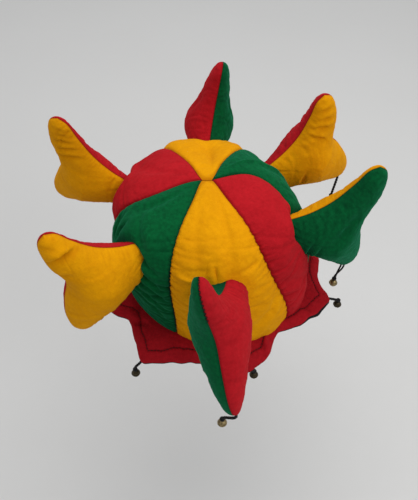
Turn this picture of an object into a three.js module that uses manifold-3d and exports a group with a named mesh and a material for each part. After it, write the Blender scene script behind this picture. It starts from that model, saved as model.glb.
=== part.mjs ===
// A soft jester hat: a padded crown of six gores, six stuffed horns, a brim cut into points with a
// dark lining, and a small bell on a short tie at every horn and every brim point.
// Millimetres, +Z up. The origin is the centre of the head opening, at the rim. The front faces -Y.

import * as THREE from "three";
import { mergeVertices } from "three/addons/utils/BufferGeometryUtils.js";
import Module from "manifold-3d";

// Clearances between neighbouring pieces.
const seamGap = 0.3;
const seatGap = 0.35;

// Crown.
const headRadius = 93; // of the head opening, for a 58 cm head
const rimPadding = 19; // thickness of the wall at the rim
const seamSwell = 0.5; // how far a seam stands out beyond the rim's outside, at the widest height
const widestHeight = 60; // of that line above the rim
const crownHeight = 166; // of the gores beside the top, above the rim
const topDip = 5; // how far the six seams sink where they meet
const seamDepth = 9; // how far the fullest line of a gore stands out beyond its seams
const sidePadding = 16; // thickness of the wall under a seam, at the widest height
const topPadding = 13; // thickness of the wall where the seams meet
const crownFullness = 2.75; // 2 is an ellipse, more is squarer
const puckerDepth = 1.5; // of the gathers beside the seams
const rimShift = 14.5; // how far the gores' lower edges sit to one side
const rimSpread = 2.5; // how much further out they reach on that side and on the opposite one
const rimShiftTurn = -12; // the direction of that side, in degrees from +X

// Horns. The outline of each is measured from the middle of its foot.
const hornReach = 96; // outwards, to the end of the upper tip
const hornRise = 74; // up, to the top of the upper tip
const hornDrop = 104; // down, to the lower tip
const hornStuffing = 0.86; // thickness as a share of a round cross-section
const hornSeatHeight = 118; // of the middle of a foot above the rim
const hornSeatInset = 3.5; // of the middle of a foot, inside the crown's seams
const hornFootShare = 0.72; // thickness of a horn at its foot, as a share of that further out
const hornRoot = 44; // length of the foot inside the crown, before it is cut to fit the crown

// Brim.
const brimThickness = 3;
const liningThickness = 1.5;
const brimSeamInset = 2; // of the inner edge, from the edge of the head opening
const brimReach = 156; // from the axis to an ordinary point
const brimDroop = 16; // of an ordinary point, below the rim
const brimArch = 5; // how far the middle of the brim swells upwards

// Ties and bells.
const tieDiameter = 3;
const tieLength = 34; // of the free part, from its sewn end to its bell
const bellDiameter = 11;
const shankDiameter = 3.4;
const shankLength = 2.4;

// Fineness of the faceted surfaces.
const goreColumns = 8;
const goreRows = 24;
const hornColumns = 12;
const hornRows = 8;
const spanColumns = 3;
const brimBands = 3;
const bellSides = 10;
const bellSteps = 3;
const tieSides = 8;
const tieSteps = 5;

const cloth = {
  yellow: { color: 0xe0a010, roughness: 0.95, metalness: 0 },
  red: { color: 0xa8161e, roughness: 0.95, metalness: 0 },
  green: { color: 0x00602f, roughness: 0.95, metalness: 0 },
  black: { color: 0x151314, roughness: 0.9, metalness: 0 },
};
const brass = { color: 0x8a7a55, roughness: 0.45, metalness: 0.9 };

// The gores in order round the crown, each from its own seam to the next one's. seam is in degrees
// from +X. On its way down the seam turns by sway, from the share of the way called steady to the one
// called swayed, and it bends out by bow between the pole and the horns, all in degrees.
const gores = [
  { name: "front", colour: "yellow", seam: -116, sway: 6, steady: 0, swayed: 1, bow: 0 },
  { name: "front_right", colour: "red", seam: -53, sway: 16, steady: 0.4, swayed: 1.1, bow: 0 },
  { name: "back_right", colour: "green", seam: 17, sway: -31, steady: 0.18, swayed: 0.56, bow: 0 },
  { name: "back", colour: "yellow", seam: 61, sway: 0, steady: 0, swayed: 1, bow: 0 },
  { name: "back_left", colour: "red", seam: 124, sway: 0, steady: 0, swayed: 1, bow: 0 },
  { name: "front_left", colour: "green", seam: 191, sway: -11, steady: 0.3, swayed: 0.8, bow: 5 },
];
const bowDown = 0.24; // where the bow is widest, as a share of the way down
const bowLength = 0.14;

// Broad swellings and hollows of the whole crown. turn and wide are in degrees, down and long are
// shares of the way down, and depth is a share of seamDepth, negative for a hollow.
const swells = [
  { turn: 91, down: 0.26, wide: 24, long: 0.16, depth: -1.1 },
  { turn: 91, down: 0.44, wide: 16, long: 0.14, depth: -0.4 },
  { turn: 120, down: 0.42, wide: 13, long: 0.14, depth: 0.5 },
  { turn: 62, down: 0.42, wide: 11, long: 0.14, depth: 0.5 },
  { turn: 40, down: 0.42, wide: 28, long: 0.14, depth: -0.9 },
  { turn: 28, down: 0.62, wide: 24, long: 0.2, depth: -1.1 },
  { turn: 150, down: 0.36, wide: 20, long: 0.14, depth: -0.5 },
  { turn: -45, down: 0.9, wide: 22, long: 0.16, depth: 0.33 },
  { turn: -136, down: 1, wide: 26, long: 0.22, depth: -0.72 },
];

// Soft folds of the gores. across and down are shares of the gore's width and length, lean is the
// direction of the fold in degrees from straight down, length and width are shares of the gore's
// length, and depth is a share of seamDepth, negative for a valley.
const folds = [
  { gore: "front", across: 0.3, down: 0.46, lean: 8, length: 0.2, width: 0.035, depth: -0.3 },
  { gore: "front", across: 0.64, down: 0.4, lean: -12, length: 0.22, width: 0.035, depth: -0.3 },
  { gore: "front", across: 0.2, down: 0.76, lean: 62, length: 0.1, width: 0.028, depth: -0.45 },
  { gore: "front", across: 0.85, down: 0.8, lean: -55, length: 0.1, width: 0.028, depth: -0.4 },
  { gore: "front_right", across: 0.4, down: 0.4, lean: 18, length: 0.22, width: 0.04, depth: 0.3 },
  { gore: "front_right", across: 0.72, down: 0.5, lean: -20, length: 0.16, width: 0.03, depth: -0.4 },
  { gore: "front_right", across: 0.25, down: 0.72, lean: 50, length: 0.12, width: 0.03, depth: -0.4 },
  { gore: "back_right", across: 0.5, down: 0.36, lean: 6, length: 0.18, width: 0.03, depth: 0.35 },
  { gore: "back_right", across: 0.3, down: 0.8, lean: 40, length: 0.12, width: 0.03, depth: -0.4 },
  { gore: "back", across: 0.42, down: 0.3, lean: 14, length: 0.16, width: 0.035, depth: -0.3 },
  { gore: "back", across: 0.7, down: 0.78, lean: -35, length: 0.12, width: 0.03, depth: -0.4 },
  { gore: "back_left", across: 0.5, down: 0.34, lean: -10, length: 0.18, width: 0.035, depth: -0.3 },
  { gore: "back_left", across: 0.3, down: 0.8, lean: 40, length: 0.12, width: 0.03, depth: -0.4 },
  { gore: "front_left", across: 0.32, down: 0.52, lean: 24, length: 0.18, width: 0.035, depth: -0.45 },
  { gore: "front_left", across: 0.74, down: 0.68, lean: -58, length: 0.12, width: 0.03, depth: -0.5 },
  { gore: "front_left", across: 0.8, down: 0.82, lean: -64, length: 0.12, width: 0.028, depth: -0.5 },
];

// The outline of a horn from the top of its foot round to the bottom: out is a share of hornReach,
// up a share of hornRise and down of hornDrop. tip, lobe and saddle say how much a point follows the
// horn's own upper tip, lower lobe and saddle.
const hornOutline = [
  { out: 0, up: 0.12, tip: 0, lobe: 0, saddle: 0.3 },
  { out: 0.22, up: 0.2, tip: 0.1, lobe: 0, saddle: 0.9 },
  { out: 0.46, up: 0.38, tip: 0.4, lobe: 0, saddle: 1.15 },
  { out: 0.68, up: 0.7, tip: 0.8, lobe: 0, saddle: 0.9 },
  { out: 0.81, up: 0.94, tip: 1, lobe: 0, saddle: 0.25 },
  { out: 0.92, up: 1, tip: 1, lobe: 0, saddle: 0, end: "upper" },
  { out: 1.01, up: 0.88, tip: 1, lobe: 0, saddle: 0 },
  { out: 1.01, up: 0.5, tip: 0.7, lobe: 0.1, saddle: 0 },
  { out: 0.87, down: 0.06, tip: 0.3, lobe: 0.3, saddle: 0 },
  { out: 0.93, down: 0.34, tip: 0, lobe: 0.7, saddle: 0 },
  { out: 0.97, down: 0.68, tip: 0, lobe: 0.95, saddle: 0 },
  { out: 0.92, down: 0.91, tip: 0, lobe: 1, saddle: 0 },
  { out: 0.82, down: 1, tip: 0, lobe: 1, saddle: 0, end: "lower" },
  { out: 0.7, down: 0.94, tip: 0, lobe: 0.95, saddle: 0 },
  { out: 0.47, down: 0.7, tip: 0, lobe: 0.5, saddle: 0 },
  { out: 0.22, down: 0.5, tip: 0, lobe: 0.1, saddle: 0 },
  { out: 0, down: 0.42, tip: 0, lobe: 0, saddle: 0 },
];
const upperTipPoint = hornOutline.findIndex((row) => row.end === "upper");
const lowerTipPoint = hornOutline.findIndex((row) => row.end === "lower");

// How each horn stands and droops. left and right are the colours of its halves, seen from the crown.
// seat is the height of its foot as a share of hornSeatHeight. turn is its place round the crown, in
// degrees from +X, then it is swung sideways, lifted and rolled, in degrees. tipOut, tipUp, lobeOut
// and lobeUp move its two ends by shares of hornReach, and saddle lowers its back between foot and tip.
// leftShare and rightShare are the fullness of its halves, and footShare the fullness of its foot.
const horns = [
  { name: "front", left: "red", right: "green", seat: 0.945, turn: -76.5, swing: -24, lift: 13, roll: 15,
    tipOut: 0.01, tipUp: -0.02, lobeOut: 0.175, lobeUp: -0.1, saddle: 0.15,
    leftShare: 0.78, rightShare: 0.98, footShare: 1.46 },
  { name: "front_right", left: "yellow", right: "green", seat: 1, turn: -17, swing: 23.5, lift: 5.5, roll: 6,
    tipOut: 0.046, tipUp: 0.045, lobeOut: -0.074, lobeUp: 0.02, saddle: 0,
    leftShare: 0.91, rightShare: 1.11, footShare: 1 },
  { name: "back_right", left: "red", right: "yellow", seat: 1, turn: 37.8, swing: -12.6, lift: 20.5, roll: 5,
    tipOut: 0, tipUp: -0.018, lobeOut: 0.074, lobeUp: 0.055, saddle: 0,
    leftShare: 1.03, rightShare: 0.96, footShare: 1 },
  { name: "back", left: "red", right: "green", seat: 1, turn: 89, swing: -5.7, lift: 21.5, roll: 10,
    tipOut: -0.114, tipUp: -0.004, lobeOut: -0.045, lobeUp: -0.005, saddle: 0,
    leftShare: 0.97, rightShare: 0.88, footShare: 0.83 },
  { name: "back_left", left: "yellow", right: "red", seat: 1, turn: 161, swing: 5.3, lift: 18.3, roll: -15,
    tipOut: 0.054, tipUp: 0.148, lobeOut: 0, lobeUp: 0.053, saddle: 0,
    leftShare: 0.8, rightShare: 0.85, footShare: 1 },
  { name: "front_left", left: "yellow", right: "red", seat: 1, turn: -139.9, swing: -13.8, lift: -3.6, roll: -0.6,
    tipOut: 0.015, tipUp: 0.05, lobeOut: 0.079, lobeUp: 0.034, saddle: 0,
    leftShare: 1.15, rightShare: 0.85, footShare: 1 },
];

// Creases of the horns. along runs from the foot to the outer edge and upwards from the lower edge to
// the upper one, lean is in degrees from straight along, length and width are shares of hornReach,
// and depth is a share of the thickness there.
const creases = [
  { horn: "front_left", along: 0.81, upwards: 0.88, lean: -30, length: 0.19, width: 0.04, depth: 0.22 },
  { horn: "back_left", along: 0.74, upwards: 0.88, lean: -34, length: 0.2, width: 0.05, depth: 0.14 },
  { horn: "back", along: 0.6, upwards: 0.75, lean: 80, length: 0.14, width: 0.05, depth: 0.16 },
  { horn: "front_right", along: 0.55, upwards: 0.7, lean: 30, length: 0.2, width: 0.05, depth: 0.16 },
  { horn: "back_right", along: 0.6, upwards: 0.7, lean: 30, length: 0.2, width: 0.05, depth: 0.16 },
];

// The edge of the brim, round from behind the front left horn: points, which carry a name, and the
// valleys between them. turn is in degrees from +X, reach a share of brimReach and droop of
// brimDroop.
const brimEdge = [
  { turn: -188, reach: 1.01, droop: 0.9, point: "left" },
  { turn: -166, reach: 0.94, droop: 0.5 },
  { turn: -153, reach: 0.9, droop: 0.5 },
  { turn: -141, reach: 0.8, droop: 0.5 },
  { turn: -121, reach: 1, droop: 1, point: "front_left" },
  { turn: -96, reach: 0.88, droop: 0.6 },
  { turn: -70, reach: 0.985, droop: 1.2, point: "front_right" },
  { turn: -59, reach: 0.94, droop: 0.9 },
  { turn: -48.5, reach: 0.83, droop: 0.5 },
  { turn: -36, reach: 0.92, droop: 0.6 },
  { turn: -15, reach: 1.07, droop: 0.95, point: "right" },
  { turn: -5, reach: 0.935, droop: 0.6 },
  { turn: 18, reach: 0.95, droop: 0.6 },
  { turn: 44, reach: 1.02, droop: 1, point: "back_right" },
  { turn: 74, reach: 0.83, droop: 0.5 },
  { turn: 104, reach: 1.02, droop: 1, point: "back" },
  { turn: 140, reach: 0.83, droop: 0.5 },
];

// Where each bell hangs from the end that its tie leaves: outwards, sideways to the left and down, as
// shares of tieLength.
const hornBells = [
  { at: "front", out: -0.12, aside: -0.44, down: 1.09 },
  { at: "front_right", out: -0.26, aside: -0.13, down: 1.18 },
  { at: "back_right", out: -0.41, aside: -0.35, down: 1.06 },
  { at: "back", out: -0.18, aside: 0.13, down: 1.15 },
  { at: "back_left", out: -0.25, aside: -0.78, down: 0.71 },
  { at: "front_left", out: -0.72, aside: -0.53, down: 0.62 },
];
const brimBells = [
  { at: "left", out: 0.1, aside: 0.1, down: 0.92 },
  { at: "front_left", out: 0.05, aside: -0.26, down: 0.94 },
  { at: "front_right", out: -0.29, aside: 0.29, down: 0.92 },
  { at: "right", out: 0.29, aside: 0.43, down: 0.79 },
  { at: "back_right", out: 0.1, aside: -0.15, down: 0.92 },
  { at: "back", out: 0.08, aside: 0.12, down: 0.92 },
];
const brimTieInset = 0.4; // how far inside its point a brim tie starts, as a share of tieLength

// Values that follow from the sizes above.
const crownGores = gores.map((gore) => ({ ...gore }));
crownGores.forEach((gore, k) => {
  gore.next = crownGores[(k + 1) % crownGores.length];
});
const rimRadius = headRadius + rimPadding;
const crownCentre = new THREE.Vector3(0, 0, widestHeight);
const topRise = crownHeight - widestHeight;
const seamRadius = rimRadius + seamSwell;
const crownRadius = seamRadius + seamDepth;
const outerRimAngle = Math.PI - Math.atan(rimRadius / widestHeight);
const innerRimAngle = Math.PI - Math.atan(headRadius / widestHeight);
const bellRadius = bellDiameter / 2;

const wasm = await Module();
wasm.setup();

/** Collects the faces of one closed solid. */
class Skin {
  constructor() {
    this.corners = [];
  }

  /** Adds a face, unless two of its corners are the same point. */
  triangle(a, b, c) {
    const same = 1e-6;
    if (a.distanceTo(b) < same || b.distanceTo(c) < same || c.distanceTo(a) < same) return;
    this.corners.push(a, b, c);
  }

  /** Adds the four-cornered face a, b, c, d, split from a to c. */
  quad(a, b, c, d) {
    this.triangle(a, b, c);
    this.triangle(a, c, d);
  }

  /** Adds the faces between two rows of points, where the first has two steps for each step of the
   * second. */
  strip(fine, coarse) {
    for (let i = 0; i < coarse.length - 1; i += 1) {
      const [start, middle, end] = fine.slice(2 * i, 2 * i + 3);
      this.triangle(start, middle, coarse[i]);
      this.triangle(middle, coarse[i + 1], coarse[i]);
      this.triangle(middle, end, coarse[i + 1]);
    }
  }

  /** Adds a sheet through rows of points, with its diagonals towards the middle. */
  sheet(rows) {
    const last = rows.length - 1;
    const end = rows[0].length - 1;
    for (let i = 0; i < last; i += 1) {
      for (let j = 0; j < end; j += 1) {
        const [a, b, c, d] = [rows[i][j], rows[i + 1][j], rows[i + 1][j + 1], rows[i][j + 1]];
        if (i < last / 2 === j < end / 2) this.quad(a, b, c, d);
        else this.quad(b, c, d, a);
      }
    }
  }

  /** The faces as a geometry. */
  geometry() {
    return new THREE.BufferGeometry().setFromPoints(this.corners);
  }

  /** Makes the mesh of the solid. */
  mesh(name, finish) {
    return finishedMesh(name, this.geometry(), finish);
  }

  /** The solid, for cutting. */
  solid() {
    const merged = mergeVertices(this.geometry());
    const vertProperties = merged.attributes.position.array;
    const triVerts = new Uint32Array(merged.index.array);
    return new wasm.Manifold(new wasm.Mesh({ numProp: 3, vertProperties, triVerts }));
  }
}

/** The geometry of a cut solid. */
function cutGeometry(solid) {
  const { vertProperties, triVerts } = solid.getMesh();
  const geometry = new THREE.BufferGeometry();
  geometry.setAttribute("position", new THREE.BufferAttribute(vertProperties, 3));
  geometry.setIndex(new THREE.BufferAttribute(triVerts, 1));
  return geometry;
}

/** A named mesh with a finish of its own. */
function finishedMesh(name, geometry, finish) {
  geometry.computeVertexNormals();
  const mesh = new THREE.Mesh(geometry, new THREE.MeshStandardMaterial(finish));
  mesh.name = name;
  return mesh;
}

/** A number between two others. */
function between(from, to, share) {
  return from + (to - from) * share;
}

/** The point of a circle round the axis, at a turn in radians and a height. */
function roundPoint(radius, turn, height) {
  return new THREE.Vector3(radius * Math.cos(turn), radius * Math.sin(turn), height);
}

/** The distance from the centre of a rounded shell to its surface, at an angle from straight up. */
function shellRadius(angle, across, rise) {
  const side = Math.abs(Math.sin(angle) / across) ** crownFullness;
  const upright = Math.abs(Math.cos(angle) / rise) ** crownFullness;
  return (side + upright) ** (-1 / crownFullness);
}

/** The depth of the half shell below the widest line that passes through the rim at a radius. */
function lowerRise(across, radius) {
  return widestHeight / (1 - (radius / across) ** crownFullness) ** (1 / crownFullness);
}

/** The share of a width at one of its steps, closer together towards both ends. */
function endShare(step, steps) {
  return 0.5 - 0.5 * Math.cos((Math.PI * step) / steps);
}

/** The share of a horn's length at one of its columns, closer together towards the outer edge. */
function tipShare(step) {
  return 1 - (1 - step / hornColumns) ** 1.3;
}

/** A rounded bump: 1 in its middle and fading out over a width. */
function bump(distance, width) {
  return Math.exp(-((distance / width) ** 2));
}

/** The turn of the seam that a gore starts from, at an angle from straight up. */
function seamTurn(gore, angle) {
  const down = angle / outerRimAngle;
  const turned = gore.sway * THREE.MathUtils.smoothstep(down, gore.steady, gore.swayed);
  return THREE.MathUtils.degToRad(gore.seam + turned + gore.bow * bump(down - bowDown, bowLength));
}

/** The turn of a gore from its own seam to the next one's, at an angle from straight up. */
function goreSpan(gore, angle) {
  const round = seamTurn(gore.next, angle) - seamTurn(gore, angle);
  return THREE.MathUtils.euclideanModulo(round, 2 * Math.PI);
}

/** How far the folds of a gore raise or sink its surface, as a share of seamDepth. */
function foldHeight(gore, across, down) {
  const width = crownRadius * goreSpan(gore, Math.PI / 2);
  const widthToLength = width / (crownRadius + topRise + widestHeight);
  let height = 0;
  for (const fold of folds.filter((row) => row.gore === gore.name)) {
    const aside = (across - fold.across) * widthToLength;
    const below = down - fold.down;
    const lean = THREE.MathUtils.degToRad(fold.lean);
    const alongFold = (below * Math.cos(lean) + aside * Math.sin(lean)) / fold.length;
    const acrossFold = (aside * Math.cos(lean) - below * Math.sin(lean)) / fold.width;
    height += fold.depth * Math.exp(-(alongFold ** 2) - acrossFold ** 2);
  }
  return height * Math.min(1, 8 * across * (1 - across)) * Math.min(1, 10 * down);
}

/** How far the swellings raise or sink the crown at a turn, as a share of seamDepth. */
function swellHeight(turn, down) {
  const height = swells.reduce((sum, swell) => {
    const aside = THREE.MathUtils.euclideanModulo(THREE.MathUtils.radToDeg(turn) - swell.turn + 180, 360) - 180;
    return sum + swell.depth * bump(aside, swell.wide) * bump(down - swell.down, swell.long);
  }, 0);
  return height * Math.min(1, 10 * down);
}

/** How far the crown's lower half leans outwards at a turn. */
function rimLean(turn, down) {
  const towards = Math.cos(turn - THREE.MathUtils.degToRad(rimShiftTurn));
  return (rimShift * towards + rimSpread * towards ** 2) * THREE.MathUtils.smoothstep(down, 0.5, 1);
}

/** The outer surface of a gore, as the distance from the crown's centre. */
function outerRadius(gore, across, down) {
  const angle = down * outerRimAngle;
  const low = angle > Math.PI / 2;
  const rise = low ? lowerRise(seamRadius, rimRadius) : topRise - topDip;
  const swell = Math.max(0, Math.sin(Math.PI * across)) ** 0.7;
  const shoulder = between(0.25, 1, THREE.MathUtils.smoothstep(down, 0.25, 0.5));
  const fromTop = shoulder * Math.sin((Math.PI / 2) * Math.min(1, down / 0.16));
  const fromRim = between(0.55, 1, Math.min(1, (1 - down) / 0.2));
  const plump = seamDepth * swell * fromTop * fromRim;
  const dipFill = topDip * swell * Math.sin(Math.PI * Math.min(1, down / 0.55)) * 0.3;
  const turn = seamTurn(gore, angle) + goreSpan(gore, angle) * across;
  const lean = rimLean(turn, down) * Math.sin(angle);
  const raised = seamDepth * (swellHeight(turn, down) + foldHeight(gore, across, down));
  return shellRadius(angle, seamRadius, rise) + plump + dipFill + lean + raised;
}

/** How far a gather draws the surface in at one node of a gore. */
function pucker(column, row) {
  const fromSeam = Math.min(column, goreColumns - column);
  const share = fromSeam === 1 ? 1 : 0.45;
  const gathered = row % 2 === 1 && row > goreRows / 4 && fromSeam > 0 && fromSeam < 3;
  return gathered ? puckerDepth * share : 0;
}

/** The rows of points of a gore's outer surface, raised by a distance and not yet moved aside. */
function outerRows(gore, raised) {
  const rows = [];
  for (let row = 0; row <= goreRows; row += 1) {
    const down = row / goreRows;
    rows.push([]);
    for (let column = 0; column <= goreColumns; column += 1) {
      const across = endShare(column, goreColumns);
      const distance = outerRadius(gore, across, down) - pucker(column, row) + raised;
      rows[row].push(crownPoint(gore, across, down * outerRimAngle, distance));
    }
  }
  return rows;
}

/** The point of a gore at a share of its width, an angle from straight up and a distance. */
function crownPoint(gore, across, angle, distance) {
  const turn = seamTurn(gore, angle) + goreSpan(gore, angle) * across;
  const point = roundPoint(distance * Math.sin(angle), turn, distance * Math.cos(angle));
  return point.add(crownCentre);
}

/** How far a gore is moved out from the axis, so that its seams keep their gap. */
function goreShift(gore) {
  return seamGap / 2 / Math.sin(goreSpan(gore, 0) / 2);
}

/** One padded gore of the crown, hollow towards the head. */
function goreMesh(gore) {
  const aside = roundPoint(goreShift(gore), seamTurn(gore, 0) + goreSpan(gore, 0) / 2, 0);
  const outer = outerRows(gore, 0);
  outer.at(-1).forEach((point) => point.setZ(0));
  const innerRadius = seamRadius - sidePadding;
  const innerTop = topRise - topDip - topPadding;
  const inner = [];
  for (let row = 0; row <= goreRows / 2; row += 1) {
    const angle = (row / (goreRows / 2)) * innerRimAngle;
    const low = angle > Math.PI / 2;
    const rise = low ? lowerRise(innerRadius, headRadius) : innerTop;
    inner.push([]);
    for (let column = 0; column <= goreColumns / 2; column += 1) {
      const across = endShare(column, goreColumns / 2);
      inner[row].push(crownPoint(gore, across, angle, shellRadius(angle, innerRadius, rise)));
    }
  }
  for (const point of [...outer, ...inner].flat()) point.add(aside);
  const skin = new Skin();
  skin.sheet(outer);
  skin.sheet(inner.map((row) => row.toReversed()));
  skin.strip(outer.map((row) => row[0]).toReversed(), inner.map((row) => row[0]).toReversed());
  skin.strip(outer.map((row) => row.at(-1)), inner.map((row) => row.at(-1)));
  skin.strip(outer.at(-1).toReversed(), inner.at(-1).toReversed());
  return skin.mesh(`gore_${gore.name}`, cloth[gore.colour]);
}

/** The room that the crown takes from the horns: all of its outside, raised by the seat's gap. */
function crownRoom() {
  const raised = seatGap + Math.max(...crownGores.map(goreShift));
  const sides = crownGores.map((gore) => outerRows(gore, raised));
  const rows = sides[0].map((_, row) => {
    const ring = sides.flatMap((side) => side[row].slice(0, -1));
    return [...ring, ring[0]];
  });
  const bottom = rows.at(-1);
  const middle = roundPoint(0, 0, bottom[0].z);
  const skin = new Skin();
  for (let start = 0; start < bottom.length - 1; start += goreColumns) {
    skin.sheet(rows.map((row) => row.slice(start, start + goreColumns + 1)));
  }
  skin.sheet([bottom, bottom.map(() => middle)]);
  return skin.solid();
}

/** Points at shares of the length of a smooth curve through others. */
function curvePoints(corners, steps, shareOf) {
  const flat = corners.map((corner) => new THREE.Vector3(corner.x, corner.y, 0));
  const curve = new THREE.CatmullRomCurve3(flat, false, "centripetal");
  const points = [];
  for (let step = 0; step <= steps; step += 1) {
    const point = curve.getPointAt(shareOf(step, steps));
    points.push(new THREE.Vector2(point.x, point.y));
  }
  return points;
}

/** The outline of a horn in its own plane, with x outwards and y up. */
function hornCorners(horn) {
  return hornOutline.map((row) => {
    const height = row.up === undefined ? -row.down * hornDrop : row.up * hornRise;
    const out = row.out + row.tip * horn.tipOut + row.lobe * horn.lobeOut;
    const shift = row.tip * horn.tipUp + row.lobe * horn.lobeUp - row.saddle * horn.saddle;
    return new THREE.Vector2(out * hornReach, height + shift * hornReach);
  });
}

/** The half thickness of a stuffed shape at a point: the more room its outline leaves in every
 * direction, the thicker. The foot counts as open. */
function stuffedHalf(point, outline) {
  const directions = 24;
  let sum = 0;
  for (let k = 0; k < directions / 2; k += 1) {
    const turn = (Math.PI * (k + 0.5)) / (directions / 2);
    const ray = new THREE.Vector2(Math.cos(turn), Math.sin(turn));
    let ahead = Infinity;
    let behind = Infinity;
    for (let i = 0; i < outline.length - 1; i += 1) {
      const side = outline[i + 1].clone().sub(outline[i]);
      const gap = outline[i].clone().sub(point);
      const scale = ray.cross(side);
      const along = gap.cross(side) / scale;
      const share = gap.cross(ray) / scale;
      if (share < 0 || share > 1) continue;
      if (along >= 0) ahead = Math.min(ahead, along);
      else behind = Math.min(behind, -along);
    }
    sum += 1 / Math.max(ahead * behind, 1e-9);
  }
  return hornStuffing * Math.sqrt(0.5 / (sum / (directions / 2)));
}

/** How deep the creases of a horn cut at a point of its outline's grid, as a share of its thickness. */
function creaseDepth(horn, along, upwards) {
  let depth = 0;
  for (const crease of creases.filter((row) => row.horn === horn.name)) {
    const lean = THREE.MathUtils.degToRad(crease.lean);
    const x = along - crease.along;
    const y = upwards - crease.upwards;
    const alongCrease = (x * Math.cos(lean) + y * Math.sin(lean)) / crease.length;
    const acrossCrease = (y * Math.cos(lean) - x * Math.sin(lean)) / (2 * crease.width);
    depth += crease.depth * Math.exp(-(alongCrease ** 2) - acrossCrease ** 2);
  }
  return depth;
}

/** The turn that takes a horn's plane to its place: x outwards, y to its left, z up. */
function hornPlacement(horn) {
  const radians = THREE.MathUtils.degToRad;
  const seat = new THREE.Vector3(seatRadius(), 0, hornSeatHeight * horn.seat);
  return new THREE.Matrix4()
    .makeRotationZ(radians(horn.turn))
    .multiply(new THREE.Matrix4().makeTranslation(seat))
    .multiply(new THREE.Matrix4().makeRotationZ(radians(horn.swing)))
    .multiply(new THREE.Matrix4().makeRotationY(-radians(horn.lift)))
    .multiply(new THREE.Matrix4().makeRotationX(radians(horn.roll)));
}

/** The distance from the axis to the crown's surface at the height of the horns' feet. */
function seatRadius() {
  const height = hornSeatHeight - widestHeight;
  const flat = 1 - (height / topRise) ** crownFullness;
  return seamRadius * Math.max(flat, 0) ** (1 / crownFullness) - hornSeatInset;
}

/** The points of a horn's flat grid, from its foot to its outer edge and from its lower edge up. */
function hornGrid(horn) {
  const corners = hornCorners(horn);
  const upper = curvePoints(corners.slice(0, upperTipPoint + 1), hornColumns, tipShare);
  const outer = curvePoints(corners.slice(upperTipPoint, lowerTipPoint + 1), hornRows, endShare);
  const lower = curvePoints(corners.slice(lowerTipPoint).toReversed(), hornColumns, tipShare);
  outer.reverse();
  const grid = [];
  for (let i = 0; i <= hornColumns; i += 1) {
    const along = tipShare(i);
    grid.push([]);
    for (let j = 0; j <= hornRows; j += 1) {
      const upwards = endShare(j, hornRows);
      const foot = lower[0].clone().lerp(upper[0], upwards);
      const fromSides = foot.clone().lerp(outer[j], along);
      const fromEdges = lower[i].clone().lerp(upper[i], upwards);
      const shared = foot.lerp(lower.at(-1).clone().lerp(upper.at(-1), upwards), along);
      grid[i].push(fromSides.add(fromEdges).sub(shared));
    }
  }
  return grid;
}

/** One sewn half of a stuffed horn, its foot cut to fit the crown. side is 1 for its left half and
 * -1 for its right half. */
function hornHalf(horn, side, room) {
  const grid = hornGrid(horn);
  const outline = hornCorners(side > 0 ? horn : { ...horn, saddle: 0 });
  outline.unshift(outline[0].clone().setX(-2 * hornReach));
  outline.push(outline.at(-1).clone().setX(-2 * hornReach));
  const seam = seamGap / 2;
  const fullness = side > 0 ? horn.leftShare : horn.rightShare;
  const halfThickness = (i, j) => {
    if (j === 0 || j === hornRows || i === hornColumns) return seam;
    const footShare = hornFootShare * horn.footShare;
    const filled = between(footShare, 1, Math.min(1, grid[i][j].x / (hornReach / 2)));
    const depth = creaseDepth(horn, tipShare(i), endShare(j, hornRows));
    return seam + stuffedHalf(grid[i][j], outline) * filled * (1 - depth) * fullness;
  };
  const front = grid.map((column, i) =>
    column.map((point, j) => new THREE.Vector3(point.x, side * halfThickness(i, j), point.y)),
  );
  front.unshift(front[0].map((point) => point.clone().setX(-hornRoot)));
  const flat = front.map((column) => column.map((point) => point.clone().setY(side * seam)));
  const edge = [
    ...flat[0].slice(0, -1),
    ...flat.slice(0, -1).map((column) => column.at(-1)),
    ...flat.at(-1).toReversed(),
    ...flat.slice(1, -1).map((column) => column[0]).toReversed(),
  ];
  const contour = edge.map((point) => new THREE.Vector2(point.x, point.z));
  const skin = new Skin();
  const turned = (rows) => (side > 0 ? rows.toReversed() : rows);
  skin.sheet(turned(front));
  skin.sheet(turned([flat[0], front[0]]));
  for (const [a, b, c] of THREE.ShapeUtils.triangulateShape(contour, [])) {
    if (side > 0) skin.triangle(edge[a], edge[b], edge[c]);
    else skin.triangle(edge[a], edge[c], edge[b]);
  }
  const placement = hornPlacement(horn);
  const placed = new Skin();
  placed.corners = skin.corners.map((point) => point.clone().applyMatrix4(placement));
  const colour = side > 0 ? horn.left : horn.right;
  const geometry = cutGeometry(placed.solid().subtract(room));
  return finishedMesh(`horn_${horn.name}_${colour}`, geometry, cloth[colour]);
}

/** The columns of the brim: its outer edge, with straight sides between points and valleys. */
function brimColumns() {
  const columns = [];
  for (let k = 0; k < brimEdge.length; k += 1) {
    const from = brimEdge[k];
    const to = brimEdge[(k + 1) % brimEdge.length];
    const start = edgePoint(from);
    const end = edgePoint(to);
    for (let step = 0; step < spanColumns; step += 1) {
      columns.push(start.clone().lerp(end, step / spanColumns));
    }
  }
  return columns;
}

/** The place of one point or valley of the brim's edge. */
function edgePoint(row) {
  const turn = THREE.MathUtils.degToRad(row.turn);
  return roundPoint(brimReach * row.reach, turn, -seamGap - brimDroop * row.droop);
}

/** The rows of points of the brim's upper face, from the head opening outwards. */
function brimRows() {
  const columns = brimColumns();
  columns.push(columns[0]);
  const ring = (radius) => columns.map((point) => {
    return roundPoint(radius, Math.atan2(point.y, point.x), -seamGap);
  });
  const rows = [ring(headRadius + brimSeamInset), ring(rimRadius)];
  for (let band = 1; band <= brimBands; band += 1) {
    const share = band / brimBands;
    rows.push(columns.map((point, k) => {
      return rows[1][k].clone().lerp(point, share).setZ(bandHeight(point, band));
    }));
  }
  return rows;
}

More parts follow.
